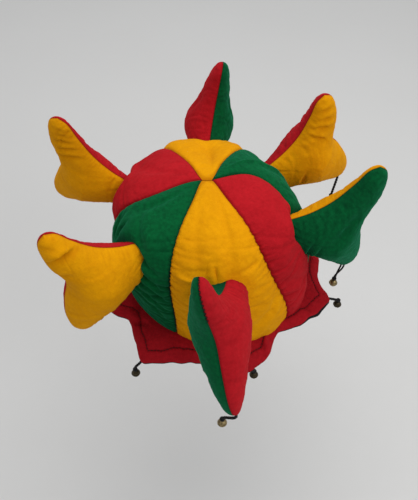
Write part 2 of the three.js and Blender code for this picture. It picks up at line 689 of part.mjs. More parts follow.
/** The height of the brim's upper face at one of its bands, on the way to a point of its edge. */
function bandHeight(edge, band) {
  const share = band / brimBands;
  const fall = between(-seamGap, edge.z, share ** 1.4);
  return fall + brimArch * Math.sin(Math.PI * share) * share;
}

/** The height of the brim's upper face at a radius, on the way to a point of its edge. */
function brimHeight(edge, radius) {
  const reach = Math.hypot(edge.x, edge.y);
  const bands = (brimBands * (radius - rimRadius)) / (reach - rimRadius);
  const band = Math.floor(bands);
  return between(bandHeight(edge, band), bandHeight(edge, band + 1), bands - band);
}

/** A sheet of the brim: its upper face lies below the brim's by a distance. */
function brimSheet(name, finish, below, thickness) {
  const drop = (rows, distance) =>
    rows.map((row) => row.map((point) => point.clone().setZ(point.z - distance)));
  const top = drop(brimRows(), below);
  const bottom = drop(top, thickness);
  const skin = new Skin();
  skin.sheet(top);
  skin.sheet(bottom.toReversed());
  skin.sheet([bottom[0], top[0]]);
  skin.sheet([top.at(-1), bottom.at(-1)]);
  return skin.mesh(name, finish);
}

/** The place of a bell's middle, from the end that its tie hangs at. */
function bellPlace(end, turn, row) {
  const offset = new THREE.Vector3(row.out, row.aside, -row.down).multiplyScalar(tieLength);
  return end.clone().add(offset.applyAxisAngle(new THREE.Vector3(0, 0, 1), turn));
}

/** A round bell with a short shank on top, hanging straight down from its tie. */
function bellMesh(name, middle) {
  const shankRadius = shankDiameter / 2;
  const arc = new THREE.Path().absarc(0, 0, bellRadius, -Math.PI / 2, Math.acos(shankRadius / bellRadius));
  const profile = arc.getPoints(bellSteps);
  const top = bellRadius + shankLength;
  profile.push(new THREE.Vector2(shankRadius, top), new THREE.Vector2(0, top));
  profile[0].x = 0;
  const geometry = new THREE.LatheGeometry(profile, bellSides).rotateX(Math.PI / 2);
  const mesh = finishedMesh(name, geometry, brass);
  mesh.position.copy(middle);
  return mesh;
}

/** The route of a tie from its start, along its first direction, and down to its end. It bows as
 * much as its length needs. */
function tieRoute(start, direction, end) {
  const route = (bow) => {
    const above = end.clone().setZ(end.z + Math.min(bow, (start.z - end.z) / 2));
    return new THREE.CubicBezierCurve3(start, start.clone().addScaledVector(direction, bow), above, end);
  };
  let low = 0;
  let high = tieLength;
  for (let round = 0; round < 20; round += 1) {
    const bow = between(low, high, 0.5);
    if (route(bow).getLength() < tieLength) low = bow;
    else high = bow;
  }
  return route(high);
}

/** A tie down to the top of its bell's shank. */
function tieMesh(name, start, direction, middle) {
  const end = middle.clone().setZ(middle.z + bellRadius + shankLength + seatGap);
  const extrudePath = tieRoute(start, direction, end);
  const section = new THREE.Shape().absarc(0, 0, tieDiameter / 2, 0, 2 * Math.PI);
  const rounded = new THREE.Shape(section.getPoints(tieSides / 2).slice(0, tieSides));
  const geometry = new THREE.ExtrudeGeometry(rounded, { steps: tieSteps, extrudePath });
  return finishedMesh(name, geometry, cloth.black);
}

const hat = new THREE.Group();

for (const gore of crownGores) hat.add(goreMesh(gore));

const room = crownRoom();
for (const horn of horns) {
  hat.add(hornHalf(horn, 1, room));
  hat.add(hornHalf(horn, -1, room));
}

hat.add(brimSheet("brim", cloth.red, 0, brimThickness));
hat.add(brimSheet("brim_lining", cloth.black, brimThickness + seamGap, liningThickness));

for (const row of hornBells) {
  const horn = horns.find((candidate) => candidate.name === row.at);
  const placement = hornPlacement(horn);
  const corner = hornCorners(horn)[lowerTipPoint];
  const tip = new THREE.Vector3(corner.x, 0, corner.y).applyMatrix4(placement);
  const downwards = new THREE.Vector3(0, 0, -1).transformDirection(placement);
  const start = tip.clone().addScaledVector(downwards, seatGap + tieDiameter / 8);
  const middle = bellPlace(tip, THREE.MathUtils.degToRad(horn.turn + horn.swing), row);
  hat.add(bellMesh(`bell_horn_${row.at}`, middle));
  hat.add(tieMesh(`tie_horn_${row.at}`, start, downwards, middle));
}

for (const row of brimBells) {
  const point = brimEdge.find((candidate) => candidate.point === row.at);
  const edge = edgePoint(point);
  const turn = THREE.MathUtils.degToRad(point.turn);
  const inwards = roundPoint(-1, turn, 0);
  const depth = brimThickness + seamGap + liningThickness + seatGap + tieDiameter / 2;
  const start = edge.clone().addScaledVector(inwards, brimTieInset * tieLength);
  start.z = brimHeight(edge, Math.hypot(start.x, start.y)) - depth;
  const middle = bellPlace(edge, turn, row);
  const outwards = edge.clone().setZ(edge.z - depth - tieDiameter / 2).sub(start).normalize();
  hat.add(bellMesh(`bell_brim_${row.at}`, middle));
  hat.add(tieMesh(`tie_brim_${row.at}`, start, outwards, middle));
}

export default hat;
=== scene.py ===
"""A soft jester hat: six padded gores, six stuffed horns, a lined brim, and twelve bells on short ties.

Shapes are worked out in millimetres and turned into metres where a mesh is made. +Z is up, the front
faces -Y, and the origin is the centre of the head opening, at the rim.
"""

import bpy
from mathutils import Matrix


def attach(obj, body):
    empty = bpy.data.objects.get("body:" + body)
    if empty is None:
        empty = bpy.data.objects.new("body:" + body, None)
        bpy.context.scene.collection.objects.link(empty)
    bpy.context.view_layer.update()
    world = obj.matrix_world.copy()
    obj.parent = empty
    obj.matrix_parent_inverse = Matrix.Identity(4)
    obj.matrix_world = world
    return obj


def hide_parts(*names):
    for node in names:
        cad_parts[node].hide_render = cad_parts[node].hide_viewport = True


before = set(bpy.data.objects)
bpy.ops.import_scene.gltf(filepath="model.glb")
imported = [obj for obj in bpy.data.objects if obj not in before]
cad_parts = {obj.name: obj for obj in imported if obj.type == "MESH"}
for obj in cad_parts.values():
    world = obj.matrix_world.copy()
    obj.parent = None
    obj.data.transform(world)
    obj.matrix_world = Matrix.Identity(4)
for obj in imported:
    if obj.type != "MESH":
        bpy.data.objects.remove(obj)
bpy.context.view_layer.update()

import logging
import math
from dataclasses import dataclass, field
from enum import Enum

import bmesh
import bpy
import numpy as np
from mathutils import Matrix

log = logging.getLogger("jester_hat")

MM = 0.001  # metres in a millimetre
SEAM_GAP = 0.3  # between pieces that are sewn edge to edge, in mm
SEAT_GAP = 0.35  # between a tie or a bell and what it hangs from, in mm
STITCH_PITCH = 4.6  # of the hand stitches that close the padded seams, in mm
CREASE = "crease"  # the attribute that says how deep in a crease a point lies, from 0 to 1; cloth is darkened by it as painted shade, and the inside of a bell as darker brass


class Dye(Enum):
    """The colours of velour in the hat."""

    YELLOW = "yellow"
    RED = "red"
    GREEN = "green"


@dataclass(frozen=True)
class Gore:
    """One gore of the crown, from its own seam to the next one's."""

    name: str
    dye: Dye
    seam: float  # degrees from +X
    sway: float  # degrees that the seam turns on its way down
    steady: float  # the share of the way down at which it starts to turn
    swayed: float  # the share of the way down by which it has turned
    bow: float  # degrees that it bends out between the pole and the horns
    pull: float  # which way the top of its own seam is pulled, from -1 to 1
    gather: float  # strength of the gathers at its own seam
    scallop: float  # how far the seam's line swings between stitches, in mm


GORES = (
    Gore("front", Dye.YELLOW, -116, 6, 0, 1, 0, -1, 1.5, 0.5),
    Gore("front_right", Dye.RED, -53, 16, 0.4, 1.1, 0, 1, 1.0, 1.1),
    Gore("back_right", Dye.GREEN, 17, -31, 0.18, 0.56, 0, 1, 0.7, 0.5),
    Gore("back", Dye.YELLOW, 61, 0, 0, 1, 0, 1, 0.6, 0.4),
    Gore("back_left", Dye.RED, 124, 0, 0, 1, 0, -1, 0.6, 0.4),
    Gore("front_left", Dye.GREEN, 191, -11, 0.3, 0.8, 5, -1, 0.8, 0.5),
)


@dataclass(frozen=True)
class Swell:
    """A broad swelling of the whole crown, or a hollow in it. turn and wide are in degrees, down and
    long are shares of the way down, and height is in mm."""

    turn: float
    down: float
    wide: float
    long: float
    height: float


SWELLS = (
    Swell(91, 0.26, 24, 0.16, -9.9),
    Swell(91, 0.44, 16, 0.14, -3.6),
    Swell(120, 0.42, 13, 0.14, 4.5),
    Swell(62, 0.42, 11, 0.14, 4.5),
    Swell(40, 0.42, 28, 0.14, -8.1),
    Swell(28, 0.62, 24, 0.20, -9.9),
    Swell(150, 0.36, 20, 0.14, -4.5),
    Swell(-45, 0.90, 22, 0.16, 3.0),
    Swell(-136, 1.00, 26, 0.22, -6.5),
)


@dataclass(frozen=True)
class Fold:
    """A soft fold of a gore. across and down are shares of its width and length, lean is in degrees
    from straight down, length and width are shares of its length, and height is in mm."""

    gore: str
    across: float
    down: float
    lean: float
    length: float
    width: float
    height: float


FOLDS = (
    Fold("front", 0.30, 0.46, 8, 0.20, 0.035, -2.7),
    Fold("front", 0.64, 0.40, -12, 0.22, 0.035, -2.7),
    Fold("front", 0.463, 0.495, 0, 0.040, 0.008, -2.6),
    Fold("front", 0.375, 0.485, -14, 0.036, 0.008, -2.2),
    Fold("front", 0.17, 0.53, 84, 0.050, 0.012, 2.2),
    Fold("front", 0.83, 0.50, -80, 0.060, 0.013, -2.4),
    Fold("front", 0.20, 0.76, 62, 0.10, 0.028, -4.0),
    Fold("front", 0.85, 0.80, -55, 0.10, 0.028, -3.6),
    Fold("front_right", 0.40, 0.40, 18, 0.22, 0.040, 2.7),
    Fold("front_right", 0.72, 0.50, -20, 0.16, 0.030, -3.6),
    Fold("front_right", 0.25, 0.72, 50, 0.12, 0.030, -3.6),
    Fold("back_right", 0.50, 0.36, 6, 0.18, 0.030, 3.2),
    Fold("back_right", 0.30, 0.80, 40, 0.12, 0.030, -3.6),
    Fold("back", 0.42, 0.30, 14, 0.16, 0.035, -2.7),
    Fold("back", 0.70, 0.78, -35, 0.12, 0.030, -3.6),
    Fold("back_left", 0.50, 0.34, -10, 0.18, 0.035, -2.7),
    Fold("back_left", 0.30, 0.80, 40, 0.12, 0.030, -3.6),
    Fold("front_left", 0.30, 0.30, -30, 0.16, 0.040, -3.0),
    Fold("front_left", 0.12, 0.50, 40, 0.055, 0.011, -4.5),
    Fold("front_left", 0.20, 0.53, 24, 0.065, 0.012, -5.0),
    Fold("front_left", 0.29, 0.50, 8, 0.055, 0.011, -4.0),
    Fold("front_left", 0.58, 0.44, 62, 0.13, 0.026, -3.4),
    Fold("front_left", 0.74, 0.53, 66, 0.11, 0.017, -5.0),
    Fold("front_left", 0.79, 0.61, 62, 0.11, 0.015, -5.0),
    Fold("front_left", 0.82, 0.68, 58, 0.10, 0.014, -4.6),
    Fold("front_left", 0.80, 0.76, 52, 0.11, 0.015, -4.6),
    Fold("front_left", 0.76, 0.85, 48, 0.12, 0.018, -4.2),
)


@dataclass(frozen=True)
class OutlineRow:
    """A corner of the horns' outline: out is a share of their reach, up of their rise above the
    middle of the foot or of their drop below it. The others say how much it follows a horn's pose."""

    out: float
    up: float
    tip: float = 0
    lobe: float = 0
    saddle: float = 0
    middle: float = 0


HORN_OUTLINE = (
    OutlineRow(0, 0.12, saddle=0.3),
    OutlineRow(0.22, 0.2, tip=0.1, saddle=0.8),
    OutlineRow(0.46, 0.38, tip=0.4, saddle=1.15),
    OutlineRow(0.68, 0.7, tip=0.8, saddle=1.25),
    OutlineRow(0.81, 0.94, tip=1, saddle=0.45),
    OutlineRow(0.92, 1, tip=1),
    OutlineRow(1.01, 0.88, tip=1),
    OutlineRow(1.01, 0.5, tip=0.7, lobe=0.1, middle=0.2),
    OutlineRow(0.87, -0.06, tip=0.3, lobe=0.3, middle=1),
    OutlineRow(0.93, -0.34, lobe=0.7, middle=0.2),
    OutlineRow(0.97, -0.68, lobe=0.95),
    OutlineRow(0.92, -0.91, lobe=1),
    OutlineRow(0.82, -1, lobe=1),
    OutlineRow(0.7, -0.94, lobe=0.95),
    OutlineRow(0.47, -0.7, lobe=0.5),
    OutlineRow(0.22, -0.5, lobe=0.1),
    OutlineRow(0, -0.42),
)
UPPER_TIP = 5  # the row of the outline at which the horn is highest
LOWER_TIP = 12  # the row at which it is lowest, where its bell hangs


@dataclass(frozen=True)
class HornPose:
    """How one horn stands and droops. Angles are in degrees, shifts are shares of a horn's reach."""

    name: str
    left: Dye
    right: Dye
    seat: float  # the height of its foot, as a share of the usual one
    turn: float  # of its foot round the crown, from +X
    swing: float  # about the upright line through its foot
    lift: float
    roll: float
    tip_out: float  # shifts of its upper tip
    tip_up: float
    lobe_out: float  # shifts of its lower tip
    lobe_up: float
    saddle: float = 0  # how far the seam of its upper edge sags, as a share of the reach
    left_share: float = 1  # of the thickness
    right_share: float = 1
    foot_share: float = 0.72  # of the thickness that is left at the foot
    over: float = 0  # how far the right half swells up behind the seam of the saddle, in mm
    sunk: float = 4  # how far the crown is drawn in round its foot, in mm
    middle: float = 0  # how much further out the middle of its outer edge stands


HORN_POSES = (
    HornPose(
        "front", Dye.RED, Dye.GREEN, 0.945, -76.5, -24, 13, 15, 0.01, -0.02, 0.175, -0.1,
        saddle=0.15, left_share=0.78, right_share=0.98, foot_share=1.05, over=14, sunk=0.3, middle=0.06,
    ),
    HornPose(
        "front_right", Dye.YELLOW, Dye.GREEN, 1, -17, 23.5, 5.5, 6, 0.046, 0.08, -0.074, 0.02,
        left_share=0.91, right_share=1.11,
    ),
    HornPose(
        "back_right", Dye.RED, Dye.YELLOW, 1, 37.8, -12.6, 20.5, 5, 0, -0.018, 0.074, 0.055,
        left_share=1.03, right_share=0.96,
    ),
    HornPose(
        "back", Dye.RED, Dye.GREEN, 1, 89, -5.7, 21.5, 10, -0.114, -0.004, -0.045, -0.005,
        left_share=0.97, right_share=0.88, foot_share=0.86,
    ),
    HornPose(
        "back_left", Dye.YELLOW, Dye.RED, 1, 161, 5.3, 18.3, -15, 0.054, 0.148, 0, 0.053,
        left_share=0.8, right_share=0.74,
    ),
    HornPose(
        "front_left", Dye.YELLOW, Dye.RED, 1, -139.9, -13.8, -3.6, -0.6, 0.015, 0.05, 0.079, 0.034,
        left_share=1.15, right_share=0.85,
    ),
)


@dataclass(frozen=True)
class Crease:
    """A crease of a horn, with a raised lip on one side. along runs from its foot to its outer edge and
    upwards from its lower edge to its upper one, lean is in degrees, length and width are shares of a
    horn's reach, and depth and lip are shares of the thickness there."""

    horn: str
    along: float
    upwards: float
    lean: float
    length: float
    width: float
    depth: float
    lip: float = 0


CREASES = (
    Crease("front_left", 0.82, 0.895, -30, 0.17, 0.011, 0.42, 0.30),
    Crease("front_left", 0.92, 0.70, -20, 0.10, 0.010, 0.16, 0.10),
    Crease("back_left", 0.87, 0.965, -28, 0.07, 0.008, 0.24, 0.14),
    Crease("back_left", 0.83, 0.945, -31, 0.09, 0.008, 0.26, 0.16),
    Crease("back_left", 0.79, 0.915, -33, 0.13, 0.008, 0.28, 0.18),
    Crease("back_left", 0.72, 0.895, -36, 0.15, 0.008, 0.26, 0.16),
    Crease("back_left", 0.69, 0.83, -35, 0.20, 0.009, 0.26, 0.16),
    Crease("back", 0.60, 0.75, 80, 0.14, 0.05, 0.16),
    Crease("front_right", 0.55, 0.70, 30, 0.20, 0.05, 0.16),
    Crease("back_right", 0.86, 0.94, -28, 0.09, 0.009, 0.20, 0.12),
    Crease("back_right", 0.80, 0.90, -32, 0.12, 0.009, 0.22, 0.14),
    Crease("back_right", 0.72, 0.88, -36, 0.13, 0.009, 0.22, 0.14),
    Crease("back_right", 0.60, 0.86, -44, 0.11, 0.010, 0.20, 0.12),
    Crease("back_right", 0.24, 0.40, 70, 0.20, 0.014, 0.14, 0.08),
    Crease("front_right", 0.16, 0.34, 84, 0.26, 0.010, 0.16, 0.10),
    Crease("front_right", 0.24, 0.30, 78, 0.22, 0.010, 0.12, 0.08),
)


@dataclass(frozen=True)
class BrimCorner:
    """A point or valley of the brim's edge. reach and droop are shares of the brim's own."""

    turn: float
    reach: float
    droop: float
    point: str = ""


BRIM_CORNERS = (
    BrimCorner(-188, 1.01, 0.9, "left"),
    BrimCorner(-166, 0.94, 0.5),
    BrimCorner(-153, 0.9, 0.5),
    BrimCorner(-141, 0.8, 0.5),
    BrimCorner(-121, 1, 1, "front_left"),
    BrimCorner(-96, 0.88, 0.6),
    BrimCorner(-70, 0.985, 1.2, "front_right"),
    BrimCorner(-59, 0.94, 0.9),
    BrimCorner(-48.5, 0.83, 0.5),
    BrimCorner(-36, 0.92, 0.6),
    BrimCorner(-15, 1.07, 0.95, "right"),
    BrimCorner(-5, 0.935, 0.6),
    BrimCorner(7, 0.985, 0.5),
    BrimCorner(18, 0.94, 0.6),
    BrimCorner(44, 1.02, 1, "back_right"),
    BrimCorner(74, 0.83, 0.5),
    BrimCorner(104, 1.02, 1, "back"),
    BrimCorner(140, 0.83, 0.5),
)


@dataclass(frozen=True)
class BellHang:
    """Where a bell hangs from the end that its tie leaves: outwards, sideways to the left and down,
    as shares of the tie's length. parted is how far the tie's two strands part, in mm."""

    at: str
    out: float
    aside: float
    down: float
    parted: float = 0.75


HORN_BELLS = (
    BellHang("front", -0.12, -0.44, 1.09),
    BellHang("front_right", -0.26, -0.13, 1.18, 2),
    BellHang("back_right", -0.41, -0.35, 1.06),
    BellHang("back", -0.18, 0.13, 1.15),
    BellHang("back_left", -0.25, -0.78, 0.71),
    BellHang("front_left", -0.72, -0.53, 0.62),
)
BRIM_BELLS = (
    BellHang("left", 0.1, 0.1, 0.92),
    BellHang("front_left", 0.05, -0.26, 0.94),
    BellHang("front_right", -0.29, 0.29, 0.92),
    BellHang("right", 0.29, 0.43, 0.79),
    BellHang("back_right", 0.1, -0.15, 0.92),
    BellHang("back", 0.08, 0.12, 0.92),
)


def between(start: float, end: float, share: np.ndarray | float) -> np.ndarray | float:
    """A number between two others."""
    return start + (end - start) * share


def ease(low: float, high: float, value: np.ndarray | float) -> np.ndarray:
    """A smooth rise from 0 to 1 while a value goes from low to high."""
    share = np.clip((np.asarray(value, float) - low) / (high - low), 0, 1)
    return share * share * (3 - 2 * share)


def hump(value: np.ndarray | float, width: float) -> np.ndarray:
    """A bell curve of height 1 at 0."""
    return np.exp(-((np.asarray(value, float) / width) ** 2))


def turning(axis: int, degrees: float) -> np.ndarray:
    """The matrix that turns points about an axis.

    Args:
        axis: 0 to 2 for x to z.
        degrees: how far it turns them.

    Returns:
        The matrix, three by three.
    """
    cos, sin = math.cos(math.radians(degrees)), math.sin(math.radians(degrees))
    matrix = np.eye(3)
    first, second = (axis + 1) % 3, (axis + 2) % 3
    matrix[first, first] = matrix[second, second] = cos
    matrix[first, second], matrix[second, first] = -sin, sin
    return matrix


def end_shares(steps: int) -> np.ndarray:
    """Shares from 0 to 1, closer together towards both ends."""
    return 0.5 - 0.5 * np.cos(np.pi * np.arange(steps + 1) / steps)


def smooth_curve(corners: np.ndarray, steps: int = 24) -> np.ndarray:
    """A smooth line through corners.

    Args:
        corners: the corners, one row each.
        steps: how many points each stretch gets.

    Returns:
        The points of the line.
    """
    longer = np.vstack([2 * corners[0] - corners[1], corners, 2 * corners[-1] - corners[-2]])
    share = np.arange(steps)[:, None] / steps
    line = []
    for before, start, end, after in zip(longer, longer[1:], longer[2:], longer[3:]):
        stretches = ((before, start), (start, end), (end, after))
        knots = [max(math.sqrt(np.linalg.norm(q - p)), 1e-3) for p, q in stretches]
        leave = (start - before) / knots[0] - (end - before) / (knots[0] + knots[1])
        leave = leave + (end - start) / knots[1]
        arrive = (end - start) / knots[1] - (after - start) / (knots[1] + knots[2])
        arrive = arrive + (after - end) / knots[2]
        leave, arrive = leave * knots[1], arrive * knots[1]
        line.append(
            (2 * share**3 - 3 * share**2 + 1) * start
            + (share**3 - 2 * share**2 + share) * leave
            + (3 * share**2 - 2 * share**3) * end
            + (share**3 - share**2) * arrive
        )
    return np.vstack([*line, corners[-1:]])


def at_shares(line: np.ndarray, shares: np.ndarray) -> np.ndarray:
    """The points of a line at shares of its length."""
    run = run_along(line)
    return np.stack([np.interp(shares * run[-1], run, column) for column in line.T], -1)


def numbered(rows: int, columns: int, first: int = 0) -> np.ndarray:
    """The numbers of a grid's points, row by row."""
    return first + np.arange(rows * columns).reshape(rows, columns)


def quads(numbers: np.ndarray, flip: bool = False) -> np.ndarray:
    """The four-cornered faces between the numbered points of a grid, or the same facing the other way."""
    faces = np.stack([numbers[:-1, :-1], numbers[1:, :-1], numbers[1:, 1:], numbers[:-1, 1:]], -1)
    return facing(faces.reshape(-1, 4), flip)


def facing(faces: np.ndarray, flip: bool) -> np.ndarray:
    """Faces as they are, or turned to look the other way."""
    return faces[:, ::-1] if flip else faces


def run_along(line: np.ndarray) -> np.ndarray:
    """How far along a line each of its points lies."""
    return np.concatenate([[0], np.cumsum(np.linalg.norm(np.diff(line, axis=0), axis=1))])


class Piece:
    """A mesh piece of the hat, gathered from points and groups of faces."""

    def __init__(self, name: str) -> None:
        """Starts an empty piece.

        Args:
            name: its name.
        """
        self.name = name
        self.points: list[np.ndarray] = []
        self.faces: list[np.ndarray] = []
        self.creases: list[np.ndarray] = []
        self.count = 0

    def add(self, points: np.ndarray, faces: list[np.ndarray], crease: np.ndarray | float = 0) -> int:
        """Adds points and their faces.

        Args:
            points: the points in mm, in a grid or a list.
            faces: groups of faces with the same number of corners, numbered from the first point.
            crease: how deep in a crease each point lies, from 0 to 1, by which cloth is darkened as painted
                shade.

        Returns:
            The number of the first point in the piece.
        """
        flat = points.reshape(-1, 3)
        start = self.count
        self.points.append(flat)
        self.creases.append(np.broadcast_to(np.asarray(crease, float), points.shape[:-1]).reshape(-1))
        self.faces += [np.asarray(group) + start for group in faces if len(group)]
        self.count += len(flat)
        return start

    def make(self, node: str, finish: "Finish", sharp: float = 50) -> bpy.types.Object:
        """Makes the object, which rides on the hat and stands for a CAD node.

        Args:
            node: the CAD node that it stands for, or an empty name.
            finish: what it is dressed in.
            sharp: the angle in degrees from which an edge looks sharp.

        Returns:
            The object.
        """
        mesh = bpy.data.meshes.new(self.name)
        points = np.concatenate(self.points)
        mesh.vertices.add(len(points))
        mesh.vertices.foreach_set("co", (points * MM).ravel())
        loops = np.concatenate([group.ravel() for group in self.faces])
        sizes = np.concatenate([np.full(len(group), group.shape[1]) for group in self.faces])
        mesh.loops.add(len(loops))
        mesh.loops.foreach_set("vertex_index", loops)
        mesh.polygons.add(len(sizes))
        mesh.polygons.foreach_set("loop_start", np.concatenate([[0], np.cumsum(sizes)[:-1]]))
        mesh.update(calc_edges=True)
        mesh.validate()
        crease = mesh.attributes.new(CREASE, "FLOAT", "POINT")
        crease.data.foreach_set("value", np.clip(np.concatenate(self.creases), 0, 1))
        mesh.shade_smooth()
        mesh.set_sharp_from_angle(angle=math.radians(sharp))
        made = bpy.data.objects.new(self.name, mesh)
        bpy.context.scene.collection.objects.link(made)
        made.data.materials.append(finish.material())
        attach(made, "root")
        if node:
            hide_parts(node)
        return made


@dataclass
class Patch:
    """A patch of padded velour, sewn down round its edges."""

    name: str
    points: np.ndarray  # its outer surface in mm, in rows
    rows: np.ndarray  # the share of its length at which each row lies
    columns: np.ndarray  # the share of its width at which each column lies
    held: np.ndarray  # where something sewn on to it holds it
    spare: float  # how much larger than its padding the velour is cut, as a share
    firmness: float  # how firmly the padding holds the velour, from 0 to 1
    first: int = 0  # the row from which it is free

    def even(self, step: float) -> tuple[np.ndarray, np.ndarray, np.ndarray, np.ndarray]:
        """The patch with even steps.

        Args:
            step: how far apart its points are to lie, in mm.

        Returns:
            Its points, whether each is held, and the shares at which its rows and its columns lie.
        """
        free = self.points[self.first :]
        long = np.linalg.norm(np.diff(free, axis=0), axis=-1).sum(0).max()
        wide = np.linalg.norm(np.diff(free, axis=1), axis=-1).sum(1).max()
        rows = np.linspace(self.rows[self.first], 1, round(long / step) + 1)
        columns = np.linspace(0, 1, round(wide / step) + 1)
        points = self.spread(self.points, self.rows, self.columns, rows, columns)
        held = self.spread(self.held[..., None].astype(float), self.rows, self.columns, rows, columns)[..., 0]
        return points, held > 0.5, rows, columns

    def spread(
        self,
        grid: np.ndarray,
        rows: np.ndarray,
        columns: np.ndarray,
        new_rows: np.ndarray,
        new_columns: np.ndarray,
    ) -> np.ndarray:
        """The values of a grid at other rows and columns.

        Args:
            grid: the values, in rows.
            rows: the shares of the length at which its rows lie.
            columns: the shares of the width at which its columns lie.
            new_rows: the shares of the length that are asked for.
            new_columns: the shares of the width that are asked for.

        Returns:
            The values there.
        """
        at = np.interp(new_rows, rows, np.arange(len(rows)))
        low = np.minimum(at.astype(int), len(rows) - 2)
        tall = between(grid[low], grid[low + 1], (at - low)[:, None, None])
        at = np.interp(new_columns, columns, np.arange(len(columns)))
        low = np.minimum(at.astype(int), len(columns) - 2)
        return between(tall[:, low], tall[:, low + 1], (at - low)[None, :, None])


@dataclass(frozen=True)
class Settling:
    """Velour is cut a little larger than its padding, sewn down, and left to settle in wrinkles."""

    step: float = 2.1  # between the points of the cloth, in mm
    frames: int = 30
    steps_a_frame: int = 4
    reach: float = 4.5  # about the furthest that the padding lets it move, in mm
    calm: float = 0.4  # the share of the wrinkles that shows near the top of the crown
    calm_rows: tuple[float, float] = (0.25, 0.6)  # the shares of the way down between which it grows to 1
    mass: float = 0.02
    drag: float = 2  # of the air
    tension: float = 20
    shear: float = 6
    bending: float = 3
    pinning: float = 0.2

    def cloth(self, patch: Patch) -> bpy.types.Object:
        """A patch as cloth.

        Args:
            patch: the patch of velour.

        Returns:
            A passing object, for the simulation.
        """
        points, held, _, _ = patch.even(self.step)
        faces = quads(numbered(*points.shape[:2]))
        mesh = bpy.data.meshes.new(f"{patch.name}_cloth")
        mesh.from_pydata((points.reshape(-1, 3) * MM).tolist(), [], faces.tolist())
        cloth = bpy.data.objects.new(mesh.name, mesh)
        bpy.context.scene.collection.objects.link(cloth)
        sewn = held.copy()
        sewn[[0, -1]] = True
        sewn[:, [0, -1]] = True
        group = cloth.vertex_groups.new(name="held")
        group.add(np.flatnonzero(sewn).tolist(), 1, "REPLACE")
        group.add(np.flatnonzero(~sewn).tolist(), patch.firmness, "REPLACE")
        velour = cloth.modifiers.new("velour", "CLOTH")
        velour.collision_settings.use_collision = False
        weave = velour.settings
        weave.quality = self.steps_a_frame
        weave.mass = self.mass
        weave.air_damping = self.drag
        weave.tension_stiffness = weave.compression_stiffness = self.tension
        weave.shear_stiffness = self.shear
        weave.bending_stiffness = self.bending
        weave.vertex_group_mass = group.name
        weave.pin_stiffness = self.pinning
        weave.shrink_min = -patch.spare
        weave.effector_weights.gravity = 0
        return cloth

    def settle(self, patches: list[Patch]) -> None:
        """Lets all the patches settle at once, and moves their points.

        Args:
            patches: the patches of velour.
        """
        cloths = [self.cloth(patch) for patch in patches]
        scene = bpy.context.scene
        for number in range(1, self.frames + 1):
            scene.frame_set(number)
        graph = bpy.context.evaluated_depsgraph_get()
        for patch, cloth in zip(patches, cloths):
            points, _, rows, columns = patch.even(self.step)
            settled = np.empty(points.size)
            cloth.evaluated_get(graph).data.vertices.foreach_get("co", settled)
            move = settled.reshape(points.shape) / MM - points
            for axis in (0, 1):
                move = (np.roll(move, 1, axis) + 2 * move + np.roll(move, -1, axis)) / 4
            size = np.linalg.norm(move, axis=-1, keepdims=True)
            move *= self.reach * np.tanh(size / self.reach) / np.maximum(size, 1e-9)
            move[[0, -1]] = 0
            move[:, [0, -1]] = 0
            finer = patch.spread(move, rows, columns, patch.rows, patch.columns)
            finer[: patch.first] = 0
            if patch.first:
                finer *= between(self.calm, 1, ease(*self.calm_rows, patch.rows))[:, None, None]
            patch.points = patch.points + finer
            log.info("%s settled, %.1f mm at most", patch.name, float(size.max()))
            mesh = cloth.data
            bpy.data.objects.remove(cloth)
            bpy.data.meshes.remove(mesh)
        scene.frame_set(1)


Socket = bpy.types.NodeSocket


class NodeTree:
    """The nodes of one material."""

    def __init__(self, name: str) -> None:
        """Makes a material with a plain shader.

        Args:
            name: its name.
        """
        self.material = bpy.data.materials.new(name)
        self.material.use_nodes = True
        self.tree = self.material.node_tree
        self.shader = self.tree.nodes["Principled BSDF"]
        self.place = self.node("ShaderNodeTexCoord").outputs["Object"]

    def node(self, kind: str, inputs: dict | None = None, **settings: object) -> bpy.types.Node:
        """Adds a node.

        Args:
            kind: its type.
            inputs: sockets or values, by the name or number of the input.
            settings: its other properties.

        Returns:
            The node.
        """
        made = self.tree.nodes.new(kind)
        for key, value in settings.items():
            setattr(made, key, value)
        for key, value in (inputs or {}).items():
            if isinstance(value, Socket):
                self.tree.links.new(value, made.inputs[key])
            else:
                made.inputs[key].default_value = value
        return made

    def noise(self, scale: float, detail: float = 2, roughness: float = 0.5) -> Socket:
        """A soft random pattern over the object, scale in cells to the metre."""
        values = {"Vector": self.place, "Scale": scale, "Detail": detail, "Roughness": roughness}
        return self.node("ShaderNodeTexNoise", values).outputs[0]

    def spread(self, value: Socket, low: float, high: float, first: float, last: float) -> Socket:
        """A value's range from low to high, spread over first to last."""
        values = {"Value": value, "From Min": low, "From Max": high, "To Min": first, "To Max": last}
        return self.node("ShaderNodeMapRange", values).outputs[0]

    def blend(self, share: Socket, first: Socket | tuple, second: Socket | tuple) -> Socket:
        """Two colours mixed by a share."""
        return self.node("ShaderNodeMix", {0: share, 6: first, 7: second}, data_type="RGBA").outputs[2]

    def crease(self) -> Socket:
        """How deep in a crease the surface lies, by which the velour is darkened as painted shade."""
        return self.node("ShaderNodeAttribute", attribute_name=CREASE).outputs["Fac"]

    def bump(self, height: Socket, distance: float, strength: float, under: Socket | None = None) -> Socket:
        """A relief of the surface.

        Args:
            height: its pattern.
            distance: its height in metres.
            strength: how much of it shows.
            under: a coarser relief that it lies on.

        Returns:
            The normal.
        """
        values = {"Height": height, "Distance": distance, "Strength": strength}
        if under is not None:
            values["Normal"] = under
        return self.node("ShaderNodeBump", values).outputs[0]

    def join(self, name: str, socket: Socket) -> None:
        """Joins a socket to an input of the shader."""
        self.tree.links.new(socket, self.shader.inputs[name])


@dataclass
class Finish:
    """A finish of the hat, whose material is made once."""

    name: str
    slot: str
    made: bpy.types.Material | None = field(default=None, init=False)

    def material(self) -> bpy.types.Material:
        """The material, made at its first use.

        Returns:
            The material.
        """
        if self.made is None:
            self.made = self.build()
        return self.made

    def build(self) -> bpy.types.Material:
        """Makes the material."""
        raise NotImplementedError


